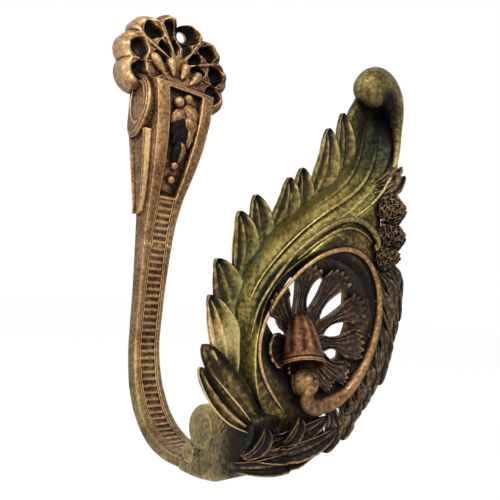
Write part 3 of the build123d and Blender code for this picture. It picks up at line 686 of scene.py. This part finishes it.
def arch_grids():
    """The outer scroll: a thin rim that leaves the trough's border, swells over the top and curls in."""
    count = 240
    t = np.linspace(0, 1, count)
    width = np.interp(t, [0, 0.1, 0.4, 0.7, 0.88, 1.0], [0.3, 0.8, 1.3, 2.2, 2.6, 0.9])
    lift = np.interp(t, [0, 0.3, 0.8, 1.0], [-0.2, 0.2, 0.8, 1.6])
    inner = [(x * 0.93 + 1.6, z * 0.93 - 1.6) for x, z in ARCH_LINE[3:9]]
    line_width = np.interp(np.linspace(0, 1, 90), [0, 0.5, 1], [0.4, 1.6, 0.4])
    return (scroll(surface_path(ARCH_LINE, count, lift), width, width)
            + scroll(surface_path(inner, 90, 0.2), line_width, line_width))


# warm tan metal, evenly worn by hands, with brown painted into its lines for their shade and hardly any
# patina
arm_bronze = bronze("tan_bronze", "#100A06", "#422C1A", "#8A6640", "#D2AE7C",
                    ("#4A4420", "#8C7C42"), ("#4A5232", "#86885A"), 0.4)
cast_piece("ring_scroll", ring_grids() + ball_grids(), arm_bronze, shade_and_dirt=same(0.1), reach=2, contrast=0.7)
cast_piece("arch_scroll", arch_grids(), lobe_bronze, same(0.5), reach=2, contrast=0.35)


# Roses, buds and small leaves grow along the right edge and under the ring, cast in high relief and
# painted dark for the shade that lies there, nearly black between their petals.
def rose_grids(x, z, radius):
    """Four tiers of ruffled petals about a bud."""
    grids = []
    for count, share, lift, phase in ((9, 1.0, 1.2, 0.0), (8, 0.8, 2.8, 0.4), (6, 0.58, 4.4, 0.9),
                                      (4, 0.36, 5.6, 0.2)):
        for i in range(count):
            angle = 2 * math.pi * (i + phase) / count
            way = np.array([math.cos(angle), math.sin(angle)])
            tip = np.array([x, z]) + way * radius * share
            grids += leaf((x, z), tip, radius * share * 0.95, (lift, lift + 1.0, lift - 0.4), cup=1.0,
                          flutes=5.0, depth=0.26, thickness=1.4, stem=0.3, point=0.4, ruffle=0.10, rows=22,
                          columns=19)
    return grids


# root, turn, tip and width of each small leaf, from the rose cluster down and round under the ring
SMALL_LEAVES = [((39, 32), (46, 34), (52.6, 41.5), 5.5), ((40, 36), (45, 40), (50.5, 44), 4.5),
                ((43, 4), (50, 0), (54.2, -14), 7.0), ((42, 0), (48, -6), (52.5, -19), 7.5),
                ((42, -6), (49, -12), (51, -22), 6.0), ((45, 8), (52, 4), (54.5, -6), 5.0),
                ((43, -12), (48, -20), (47.6, -31), 7.0), ((41, -18), (46, -27), (44.6, -37.5), 7.5),
                ((38, -26), (42, -33), (38.6, -42), 7.0), ((34, -32), (38, -40), (34.5, -46), 7.0),
                ((31, -37), (34, -44), (29.6, -50.5), 7.0), ((27, -41), (31, -49), (27, -55.5), 6.5),
                ((22, -43), (25, -53), (19.5, -59), 7.0), ((15, -45), (17, -55), (11.5, -60.8), 7.0),
                ((8, -47), (9, -57), (3, -62), 7.0), ((1, -50), (1, -58), (-5, -62.6), 6.5)]


def small_leaf_grids():
    """Overlapping small leaves, each with a thin one laid over its root."""
    grids = []
    for root, turn, tip, width in SMALL_LEAVES:
        grids += leaf(root, tip, width, (0.2, 1.8, 1.0), turn=turn, cup=1.1, flutes=3.0, depth=0.35,
                      thickness=2.4, ruffle=0.05)
        near = ((root[0] + turn[0]) / 2, (root[1] + turn[1]) / 2)
        grids += leaf(near, (tip[0] - 2.2, tip[1] + 3.5), width * 0.6, (0.8, 2.4, 1.4), turn=turn, cup=-0.8,
                      flutes=1.0, depth=0.15, thickness=2.0, stem=0.4)
    return grids


cast_piece("roses", rose_grids(45.5, 27, 7.0) + rose_grids(46, 17, 7.0) + rose_grids(44, 9.5, 5.4),
           painted_shade_bronze, reach=2, contrast=0.8)
cast_piece("small_leaves", small_leaf_grids(), painted_shade_bronze, reach=2, contrast=0.5)


# The foot is a thick cast block with two rolled lobes at its heel, its flat cheeks engraved with
# arcs, and leaf strands that run from it under the plate.
FOOT_EDGE = [(-52, -73.2), (-58, -73.2), (-65, -72.6), (-73, -71.2), (-81, -67.5), (-87, -61.5), (-90, -54),
             (-90.5, -47), (-86, -42.5), (-79, -42), (-73, -45.5), (-68.5, -47.6), (-64.5, -47.5),
             (-60, -49), (-57.2, -52.6), (-56.6, -57), (-58.2, -60.8), (-55.6, -62.4), (-54.2, -65.4),
             (-55.2, -68.2), (-57, -69.4), (-52, -70)]
FOOT_HALF = 9.6
# place (y, z), radius and half width of the two rolled lobes, and the middles of the arcs cut in the cheeks
FOOT_ROLLS = [(-64.4, -55.6, 8.1, 10.2), (-58.4, -65.4, 4.0, 10.0)]
ARC_MIDDLES = [(-64.6, -55.6), (-58.6, -65.2)]


def foot_grids():
    """The block: its outline swept across, and cheeks that close in rings with arcs cut in them."""
    edge = resampled(FOOT_EDGE, 300, rounds=4)
    middle = np.array([-72.0, -58.0])
    cheek = []
    insets = [1.0, 0.985, 0.965, 0.94, 0.91, 0.87, 0.82, 0.76, 0.7, 0.62, 0.54, 0.45, 0.35, 0.25, 0.12, 0.0]
    for inset in insets:
        line = middle + (edge - middle) * inset
        big, small = [np.hypot(line[:, 0] - y, line[:, 1] - z) for y, z in ARC_MIDDLES]
        arcs = 0.30 * bump(big, 10.5, 0.35) + 0.25 * bump(big, 15.0, 0.4) + 0.3 * bump(small, 5.0, 0.3)
        shoulder = 1.8 * (1 - dome(1 - (1 - inset) / 0.13))
        cheek.append(np.stack([FOOT_HALF - shoulder + arcs * (inset < 0.9), line[:, 0], line[:, 1]], 1))
    right = np.array(cheek)
    left = right.copy()
    left[..., 0] *= -1
    rolls = []
    for y, z, radius, width in FOOT_ROLLS:
        part = np.linspace(0, math.pi / 2, 14)
        bend = 0.38 * radius
        end = [(width - bend + bend * math.sin(t), radius - bend + bend * math.cos(t)) for t in part]
        side = end + [(width + 0.10, 0.4 * radius), (width + 0.15, 0.0)]
        rows = [(-a, b) for a, b in reversed(side)] + side
        rolls += lathe((0.0, y, z), (1, 0, 0), rows, 64)
    return [(np.concatenate([left[::-1], right]), False, True)] + rolls


def foot_patina(points):
    """Olive-grey patina on the cheeks."""
    return 0.45 * smooth(5.0, 9.0, np.abs(points[:, 0]))


def foot_tone(points):
    """The rolled lobes were rubbed; the block is a little darker, most at the toe, and lighter at the heel.
    """
    y, z = ARC_MIDDLES[0]
    lobe = smooth(9.5, 8.0, np.hypot(points[:, 1] - y, points[:, 2] - z))
    lobe = lobe * smooth(9.5, 7.5, np.abs(points[:, 0]))
    return 0.06 + 0.3 * smooth(-74, -86, points[:, 1]) - 0.12 * smooth(-80, -70, points[:, 1]) - 0.28 * lobe


# root, turn, tip, width and height of each strand
STRANDS = [((-14, -61.5), (2, -63), (16, -57), 6.5, 2.6), ((-10, -58), (8, -60), (24, -51), 6.5, 3.6),
           ((-9, -55), (6, -55), (20, -47), 6.0, 2.6)]


def strand_grids():
    """Long leaf strands from the foot's toe up under the ring, and two small curls."""
    grids = []
    for root, turn, tip, width, lift in STRANDS:
        grids += leaf(root, tip, width, (1.0, lift, lift * 0.6), turn=turn, cup=0.8, flutes=2.0, depth=0.4,
                      thickness=3.0)
    for root, turn, tip in [((0, -57), (7, -53), (6, -46)), ((-10, -59), (-4, -55), (-6, -49))]:
        grids += leaf(root, tip, 4.5, (2.0, 4.0, 4.5), turn=turn, cup=1.0, flutes=2.0, depth=0.3,
                      thickness=3.0)
    return grids


# grey-olive metal with a golden rub on its rolls
foot_bronze = bronze("dark_olive_bronze", "#0B0B07", "#2E2714", "#80683A", "#CFAE6A",
                     ("#2E3122", "#66684E"), ("#3A4638", "#74806A"), 0.9)
cast_piece("foot_block", foot_grids(), foot_bronze, foot_patina, foot_tone)
# the strands under the plate take the metal painted dark for shade
cast_piece("foot_strands", strand_grids(), painted_shade_bronze, contrast=0.6)


# The arm and the bracket's face are one cast bar: two rounded rails with a sunk panel between them
# at the top, and below it a ladder of small rungs that fades round the bottom of the U.
FACE_POINTS = [(-21.4, 78.5), (-22.1, 70), (-22.1, 64), (-20.6, 53), (-17.5, 41.5), (-13.5, 31), (-10.8, 20),
               (-9.5, 10), (-8.7, -9), (-8.2, -33), (-9.6, -41), (-13, -51), (-19.4, -60), (-26.5, -65.3),
               (-35, -68.2), (-44, -69.3), (-57, -69)]
BACK_POINTS = [(0, 86.5), (0, 75), (0, 68), (0, 55), (0, 42), (0, 31), (-0.3, 20), (-0.5, 10), (-0.8, -9),
               (-1.4, -35), (-3.2, -43), (-6.4, -52), (-12.9, -61.2), (-20, -67.3), (-29, -72), (-40, -73.8),
               (-57, -73)]
HALF_WIDTHS = [14.8, 13.9, 13.2, 12.1, 10.2, 8.5, 7.6, 7.2, 6.4, 6.1, 6.3, 6.7, 7.1, 7.3, 7.4, 7.4, 7.4]
PANEL_DEPTH = 3.2
LADDER_DEPTH = 0.65
RUNG_HEIGHT = 0.5
RUNG_STEP = 3.0


def arm_grids():
    """Sections from the bracket's lip to the arm's end, each a closed loop round the bar.

    The face is sunk by the panel, by the rails' rounding (0.8 times v to 8) and by the ladder, whose
    rungs rise as a raised cosine along the arm.
    """
    count = 720
    knots = np.concatenate([[0], np.cumsum(np.linalg.norm(np.diff(np.array(FACE_POINTS), axis=0), axis=1))])
    s = np.linspace(0, knots[-1], count)
    table = np.column_stack([FACE_POINTS, BACK_POINTS, HALF_WIDTHS])
    lines = np.stack([np.interp(s, knots, table[:, k]) for k in range(5)], 1)
    for _ in range(160):
        lines[1:-1] = (lines[:-2] + 2 * lines[1:-1] + lines[2:]) / 4
    face, back, half = lines[:, 0:2], lines[:, 2:4], lines[:, 4:5]
    z = face[:, 1:2]
    v = np.linspace(-1, 1, 97)[None, :]
    a = half * v
    low_end = smooth(160, 175, s)[:, None]
    panel_half = np.interp(-z, [-76, -31.5], [8.4, 4.1])
    in_panel = smooth(77.0, 75.6, z) * smooth(30.5, 33.0, z)
    panel = PANEL_DEPTH * smooth(panel_half + 0.5, panel_half - 0.5, np.abs(a)) * in_panel
    rail_round = 0.8 * np.abs(v) ** 8
    below = smooth(31, 28, z) * (1 - low_end)
    between = smooth(3.6, 3.1, np.abs(a)) * below
    ladder = LADDER_DEPTH * between
    rungs = RUNG_HEIGHT * (0.5 + 0.5 * np.cos(2 * math.pi * s[:, None] / RUNG_STEP)) ** 1.5 * between
    border = 0.3 * bump(np.abs(a), 3.9, 0.25) * below
    ridge = 0.7 * bump(z, 9.5, 1.1) * (s[:, None] < 100) * (0.7 + 0.3 * np.sin(a * 1.3))
    sunk = panel + rail_round + ladder - rungs + border - ridge
    depth_way = back - face
    thick = np.linalg.norm(depth_way, axis=1)[:, None]
    depth_way = depth_way / thick
    front = np.stack([np.broadcast_to(a, sunk.shape), face[:, :1] + depth_way[:, :1] * sunk,
                      face[:, 1:] + depth_way[:, 1:] * sunk], -1)
    t = np.linspace(0.06, 0.94, 25)[None, :]
    bow = 0.35 * np.sin(math.pi * t)
    cheek_x = half - 0.9 * bump(t, 0.0, 0.1) + 0 * bow
    right = np.stack([cheek_x, *(face[:, k:k + 1] + depth_way[:, k:k + 1] * thick * t for k in (0, 1))], -1)
    rear = np.stack([a[:, ::-4] * 0.96, back[:, :1] + 0 * a[:, ::4], back[:, 1:] + 0 * a[:, ::4]], -1)
    left = right[:, ::-1].copy()
    left[..., 0] *= -1
    loop = np.concatenate([front, right, rear, left], 1)
    caps = []
    for ring in (loop[:1], loop[-1:]):
        centre = ring.mean(1, keepdims=True)
        caps.append(centre + (ring - centre) * np.array([0.0, 0.5])[:, None, None])
    return [(np.concatenate([caps[0], loop, caps[1][::-1]]), False, True)]


def arm_patina(points):
    """A little yellow-green on the arm's edges lower down."""
    return 0.8 * smooth(20, -50, points[:, 2]) * smooth(3.5, 7.0, np.abs(points[:, 0]))


cast_piece("arm_bar", arm_grids(), arm_bronze, arm_patina, reach=3, contrast=0.8)


# On each side of the bracket a flat volute with a beaded eye, and below it a long tongue stepped
# back from the rail, with a dark groove between them. Both are cast with the bracket.
VOLUTE_EYE = np.array([-9.5, 70.0])
VOLUTE_SEAT = 9.0
VOLUTE_FACE = 17.0


def volute_grids(side):
    """The disc: its outline closes in rings to the eye, which a raised bead frames."""
    outline = resampled([(-13.5, 60), (-17.0, 65), (-18.0, 71), (-16.5, 77), (-12, 81.5), (-6, 84), (-1, 85),
                         (-1, 70), (-1, 57), (-5, 54.5), (-9.5, 56)], 160)
    rows = []
    for inset in np.linspace(1, 0, 46):
        line = VOLUTE_EYE + (outline - VOLUTE_EYE) * inset
        y, z = (line - VOLUTE_EYE).T
        reach = np.hypot(y / 6.0, z / 9.0)
        bead = 0.6 * bump(reach, 1.0, 0.10) * (0.4 + 0.6 * smooth(-0.8, 0.8, np.sin(np.arctan2(z, y))))
        height = VOLUTE_FACE - 0.7 * smooth(0.9, 1.0, inset) + bead - 0.3 * smooth(1.0, 0.85, reach)
        rows.append(np.stack([side * height, line[:, 0], line[:, 1]], 1))
    wall = np.array([rows[0] * [0, 1, 1] + [side * w, 0, 0] for w in (VOLUTE_SEAT, 12.0, 15.0)])
    base = np.tile([side * VOLUTE_SEAT, *VOLUTE_EYE], (1, len(outline), 1))
    return [(np.concatenate([base, wall, np.array(rows)]), False, True)]


def tongue_grids(side):
    """The tongue: a tapered slab that ends round, its face framed by a raised border."""
    t = np.linspace(0, 1, 90)[:, None]
    z = 58 - 35 * t
    half = 15.2 - 5.9 * t
    front = np.interp(z, [23, 24, 27, 31, 41.5, 53, 58], [-4.5, -6.2, -7.6, -9.2, -12.2, -15.0, -16.0])
    w = np.linspace(0, 1, 30)[None, :]
    y = front * (1 - w) - 0.6 * w * smooth(0.97, 0.9, t)
    frame_line = bump(w, 0.10, 0.06) + bump(w, 0.92, 0.05)
    height = half + 0.45 * frame_line - 0.5 * smooth(0.2, 0.3, w) * smooth(0.85, 0.75, w)
    face = np.stack([side * height, y, z + 0 * w], -1)
    inner = face.copy()
    inner[..., 0] = side * (half - 6.0)
    loop = np.concatenate([face, inner[:, ::-1]], 1)
    caps = [loop[:1].mean(1, keepdims=True) + 0 * loop[:1], loop[-1:].mean(1, keepdims=True) + 0 * loop[-1:]]
    return [(np.concatenate([caps[0], loop, caps[1]]), False, True)]


cast_piece("volutes", volute_grids(1) + volute_grids(-1), arm_bronze, reach=2)
cast_piece("tongues", tongue_grids(1) + tongue_grids(-1), arm_bronze, reach=2)


# In the sunk panel hangs a garland: berries, leaves, a folded bud and two berries below, cast as
# one with the panel and rubbed bright on top.
def on_panel(x, z, lift):
    """Points on the sunk panel's floor, lifted towards the room."""
    x, z, lift = np.broadcast_arrays(x, z, lift)
    y = np.interp(z, [31, 41.5, 53, 64, 76], [-10.3, -14.3, -17.4, -18.9, -18.4])
    return np.stack([x, y - lift, z], -1)


def berry(x, z, radius, lift):
    """A small ball on the panel."""
    tip = np.linspace(0, math.pi, 14)
    rows = [(-radius * math.cos(t), radius * math.sin(t)) for t in tip]
    return lathe(on_panel(x, z, lift), (0, -1, 0), rows, 24)


# place (x, z), radius and height of each berry
BERRIES = [(1.5, 74, 2.2, 1.6), (-3.2, 71.5, 2.5, 1.8), (0, 44.8, 1.8, 0.8), (0.2, 38.8, 1.8, 0.8)]


def garland_grids():
    """Two big berries, a knot of leaves, a folded bud and a tail of berries."""
    grids = []
    for spot in BERRIES:
        grids += berry(*spot)
    for root, tip, width in [((0, 71), (7.0, 64), 6.0), ((0, 70), (-6.2, 62), 5.6), ((1, 67), (6.0, 57), 6.0),
                             ((0, 67), (-5, 57), 5.4), ((0, 64), (1.0, 53), 6.6), ((2, 62), (4.6, 53), 4.2),
                             ((-1, 62), (-3.8, 53), 4.2)]:
        grids += leaf(root, tip, width, (1.4, 2.8, 1.4), 0.6, cup=-0.6, flutes=1.0, depth=0.15, stem=0.5,
                      ruffle=0.06, base=on_panel, rows=26, columns=17)
    for root, tip, width in [((0, 56), (-0.8, 45.5), 5.4), ((0.5, 56), (1.4, 46), 4.4)]:
        grids += leaf(root, tip, width, (1.6, 2.6, 1.2), 0.3, cup=-0.5, flutes=1.0, depth=0.2, base=on_panel,
                      rows=26, columns=17)
    return grids


cast_piece("garland", garland_grids(), arm_bronze, contrast=0.6)


# The scallop shell lies against the wall: eight lobes with a deep hollow each, drop hollows nearer
# the root, four bosses at its foot, and the screw hole in the lobe right of the middle.
SHELL_X = 2.4
SHELL_Z = 92.0
SHELL_HEIGHT = 9.0
LOBE_ANGLES = (-112, -84, -52, -18, 18, 52, 84, 112)
HOLE_RADIUS = 2.5


def shell_grids():
    """Rings about the shell's middle out to a scalloped edge.

    The height falls by a hollow in each lobe and a drop nearer the root, both 1 less the squares of
    the distances from their middles, and by a quarter circle at the edge. About the screw hole it
    stays under a cone, and the rings' points inside the hole are pushed out to its edge.
    """
    angle = np.linspace(-math.pi, math.pi, 720, endpoint=False)[None, :]
    share = np.concatenate([np.linspace(0, 0.97, 130), [0.985, 1.0]])[:, None]
    lobes = np.radians(np.array(LOBE_ANGLES))[:, None]
    gap = np.abs((angle - lobes + math.pi) % (2 * math.pi) - math.pi)
    nearest = gap.min(0)[None, :]
    chord = (20.6 * np.sin(np.minimum(nearest, 0.42))) ** 2
    edge = np.maximum(20.0, np.sqrt(np.clip(8.2 ** 2 - chord, 0, 99)) + 20.2 * np.cos(nearest))
    edge = (edge + 1.4 * np.abs(angle) / math.pi) * (0.84 + 0.16 * smooth(0.3, 1.4, np.abs(angle)))
    radius = edge * share
    uneven = 0.16 * np.sin(angle * 9 + radius * 0.9) + 0.13 * np.sin(angle * 17 - radius * 0.7)
    hollow = 1.12 + uneven - ((radius - 0.72 * edge) / 4.2) ** 2 - (nearest * 19.5 / 4.4) ** 2
    hollow = 4.6 * np.clip(hollow, 0, 1) ** 0.6
    drop = 1.1 + uneven - ((radius - 9.8) / 4.4) ** 2 - (nearest * 10.5 / 2.6) ** 2
    drop = 4.2 * np.clip(drop, 0, 1) ** 0.55 * smooth(math.radians(104), math.radians(96), np.abs(angle))
    rib = 0.8 * smooth(0.20, 0.27, nearest) * smooth(4, 9, radius) * smooth(0.95, 0.8, share)
    roll = 1.0 - dome((share - 0.88) / 0.12)
    height = SHELL_HEIGHT - hollow - drop + rib - 3.6 * roll + 0.5 * bump(share, 0.90, 0.05)
    height += 0.5 * np.sin(angle * 27 + 2 * np.sin(angle * 5)) * bump(share, 0.92, 0.10)
    x = SHELL_X + radius * np.sin(angle)
    z = SHELL_Z + radius * np.cos(angle)
    across, above = x - SCREW_HOLE[0], z - SCREW_HOLE[2]
    hole = np.hypot(across, above)
    slope = 1.1 + 1.5 * smooth(-0.2, 0.6, across / np.maximum(hole, 0.1))
    height = np.minimum(height, 1.25 + slope * np.maximum(hole - 2.6, 0))
    push = np.where(hole < HOLE_RADIUS, HOLE_RADIUS / np.maximum(hole, 0.05), 1.0)
    x = SCREW_HOLE[0] + across * push
    z = SCREW_HOLE[2] + above * push
    face = np.stack([x, -height * np.ones_like(x), z], -1)
    wall = np.stack([x[-1], np.zeros_like(x[-1]), z[-1]], -1)[None]
    back = np.stack([x[::-9], np.zeros_like(x[::-9]), z[::-9]], -1)
    return [(np.concatenate([face, wall, back]), False, True)]


def shell_painted_shade(points):
    """Painted shade deep in the shell's hollows and on its right side; its left side is painted lighter."""
    reach = np.hypot(points[:, 0] - SHELL_X, points[:, 2] - SHELL_Z)
    depth = smooth(-8.0, -5.0, points[:, 1]) * smooth(27, 25, reach)
    return 0.38 * depth + 0.16 * smooth(0, 22, points[:, 0]) - 0.10 * smooth(0, -22, points[:, 0])


# place (x, z), lean and half length of each boss
BOSSES = [(-8.5, 89.5, -0.9, 5.6), (-1.8, 90.5, -0.3, 4.2), (4.8, 90.3, 0.3, 4.2), (11.0, 88.6, 0.8, 4.6)]


def boss_grids():
    """Four bosses at the shell's foot: drops of that length about a leaning axis."""
    grids = []
    for x, z, lean, length in BOSSES:
        tip = np.linspace(0, math.pi, 18)
        rows = [(-length * math.cos(t), 2.1 * math.sin(t) * (1 - 0.5 * math.cos(t))) for t in tip]
        grids += lathe((x, -9.6, z), (lean, 0.1, 1.0), rows, 30)
    return grids


shell_piece = cast_piece("shell", shell_grids() + boss_grids(), arm_bronze, shade_and_dirt=shell_painted_shade, reach=3)


# The screw hole is drilled right through the shell's thin place, 5 mm wide for a wood screw. The
# shell's faces inside it are taken out, and a plain round wall lines it.
def open_hole(piece):
    """Deletes the faces whose middle lies inside the hole."""
    work = bmesh.new()
    work.from_mesh(piece.data)
    inside = [f for f in work.faces if f.calc_center_median().xz.length < 0.98 * HOLE_RADIUS / 1000]
    bmesh.ops.delete(work, geom=inside, context="FACES")
    work.to_mesh(piece.data)
    work.free()


def hole_grids():
    """A thin tube that lines the hole."""
    inner, outer, deep = HOLE_RADIUS, HOLE_RADIUS + 0.4, 1.3
    rows = [(0.0, inner), (deep, inner), (deep, outer), (0.0, outer), (0.0, inner)]
    return lathe(SCREW_HOLE - (0.0, 0.01, 0.0), (0, -1, 0), rows, 64)


open_hole(shell_piece)
cast_piece("hole_lining", hole_grids(), arm_bronze, reach=1)


# Painted shade: the colour is darkened wherever two of the casting's forms come near each other and
# close a place in, where less light reaches. That can be worked out only once every piece is there.
def paint_hollow_shade(reach, rays, depth):
    """Paints shade into the colour by lowering the relief where the casting closes a place in.

    From each vertex a few rays go out round its normal, 50 degrees off it, and a hit at distance d
    counts 1 - d over reach. The relief drops by depth times the mean count, less what an open
    place has.
    """
    corners = []
    faces = []
    start = 0
    for piece in casting:
        corners.extend(mesh_arrays(piece.data)[0].tolist())
        faces.extend([tuple(start + v for v in face.vertices) for face in piece.data.polygons])
        start = len(corners)
    tree = BVHTree.FromPolygons(corners, faces)
    around = 2 * math.pi * (np.arange(rays) + 0.5) / rays
    for piece in casting:
        spots, normals = mesh_arrays(piece.data)
        across = np.cross(normals, (0.31, 0.17, 0.93))
        across = across / np.maximum(np.linalg.norm(across, axis=1), 1e-6)[:, None]
        other = np.cross(normals, across)
        ways = (0.64 * normals[:, None] + 0.77 * (np.cos(around)[None, :, None] * across[:, None]
                                                  + np.sin(around)[None, :, None] * other[:, None]))
        occlusion = np.zeros(len(spots))
        for i, (spot, fan) in enumerate(zip((spots + normals * 0.00015).tolist(), ways.tolist())):
            for way in fan:
                far = tree.ray_cast(spot, way, reach)[3]
                if far is not None:
                    occlusion[i] += 1 - far / reach
        layer = piece.data.attributes["relief_and_shade"].data
        relief_and_shade = np.empty(len(spots))
        layer.foreach_get("value", relief_and_shade)
        layer.foreach_set("value", relief_and_shade - depth * np.clip(occlusion / rays - 0.06, 0, 1) ** 0.8)


# paints shade into the hollows of every piece
paint_hollow_shade(reach=0.008, rays=8, depth=0.5)


# A pale floor a little below the hook, plain soft studio light from all round and the camera
# where the photograph was taken from.
def seen_rays(owner):
    """1 for the rays that show the background: the camera's, and those mirrored or let through."""
    path = add_node(owner, "LightPath")
    seen = path.outputs["Is Camera Ray"]
    for kind in ("Is Glossy Ray", "Is Transmission Ray"):
        seen = add_node(owner, "Math", links={0: seen, 1: path.outputs[kind]}, operation="MAXIMUM").outputs[0]
    return seen


def build_stage():
    """A large pale floor that the camera and the metal see as white, with the hook's soft shadow."""
    mesh = bpy.data.meshes.new("studio_floor")
    half, level = 3.0, -0.26
    corners = [(-half, -half, level), (half, -half, level), (half, half, level), (-half, half, level)]
    mesh.from_pydata(corners, [], [(0, 1, 2, 3)])
    floor = bpy.data.objects.new("studio_floor", mesh)
    bpy.context.scene.collection.objects.link(floor)
    material = bpy.data.materials.new("pale_floor")
    material.use_nodes = True
    material.node_tree.nodes.clear()
    white = add_node(material, "Emission", {"Color": (1, 1, 1, 1), "Strength": 0.91})
    pale = add_node(material, "BsdfDiffuse", {"Color": srgb("#7C7C7C")})
    seen = add_node(material, "AddShader", links={0: white.outputs[0], 1: pale.outputs[0]})
    plain = add_node(material, "BsdfDiffuse", {"Color": srgb("#E8E6E2")})
    mix = add_node(material, "MixShader",
                   links={0: seen_rays(material), 1: plain.outputs[0], 2: seen.outputs[0]})
    add_node(material, "OutputMaterial", links={"Surface": mix.outputs[0]})
    mesh.materials.append(material)


def build_world():
    """A soft grey sky for light, seen as white by the camera and in the metal."""
    world = bpy.data.worlds.new("studio")
    bpy.context.scene.world = world
    world.use_nodes = True
    world.node_tree.nodes.clear()
    soft = add_node(world, "Background", {"Color": srgb("#E9EBEE"), "Strength": 0.45})
    white = add_node(world, "Background", {"Color": (1, 1, 1, 1)})
    mix = add_node(world, "MixShader", links={0: seen_rays(world), 1: soft.outputs[0], 2: white.outputs[0]})
    add_node(world, "OutputWorld", links={"Surface": mix.outputs[0]})


def add_lamp(name, spot, size, power):
    """A soft square lamp aimed at the hook's middle."""
    lamp = bpy.data.lights.new(name, "AREA")
    lamp.size = size
    lamp.energy = power
    holder = bpy.data.objects.new(name, lamp)
    bpy.context.scene.collection.objects.link(holder)
    holder.location = spot
    hook_middle = Vector((0.0, -0.06, -0.12))
    holder.rotation_euler = (hook_middle - Vector(spot)).to_track_quat("-Z", "Y").to_euler()


def add_camera():
    """A camera of 38.88 mm on a 36 mm sensor, low and to the left, with a roll of about five degrees."""
    camera = bpy.data.cameras.new("photo_camera")
    camera.lens = 38.88
    camera.sensor_width = 36.0
    holder = bpy.data.objects.new("photo_camera", camera)
    bpy.context.scene.collection.objects.link(holder)
    forward = Vector((0.64706, 0.75893, 0.07310))
    up = Vector((-0.1083, -0.0034, 0.9941))
    right = forward.cross(up).normalized()
    up = right.cross(forward)
    turn = Matrix((right, up, -forward)).transposed()
    holder.matrix_world = Matrix.Translation((-0.13044, -0.21725, -0.11658)) @ turn.to_4x4()
    bpy.context.scene.camera = holder


build_stage()
build_world()
for lamp_name, lamp_spot, lamp_size, lamp_power in (("key_lamp", (-0.15, -0.75, 0.5), 0.35, 4.5),
                                                    ("side_lamp", (-0.7, -0.35, 0.15), 0.45, 2.8),
                                                    ("low_lamp", (-0.1, -0.6, -0.2), 0.4, 0.8)):
    add_lamp(lamp_name, lamp_spot, lamp_size, lamp_power)
add_camera()
bpy.context.scene.view_settings.view_transform = "Standard"
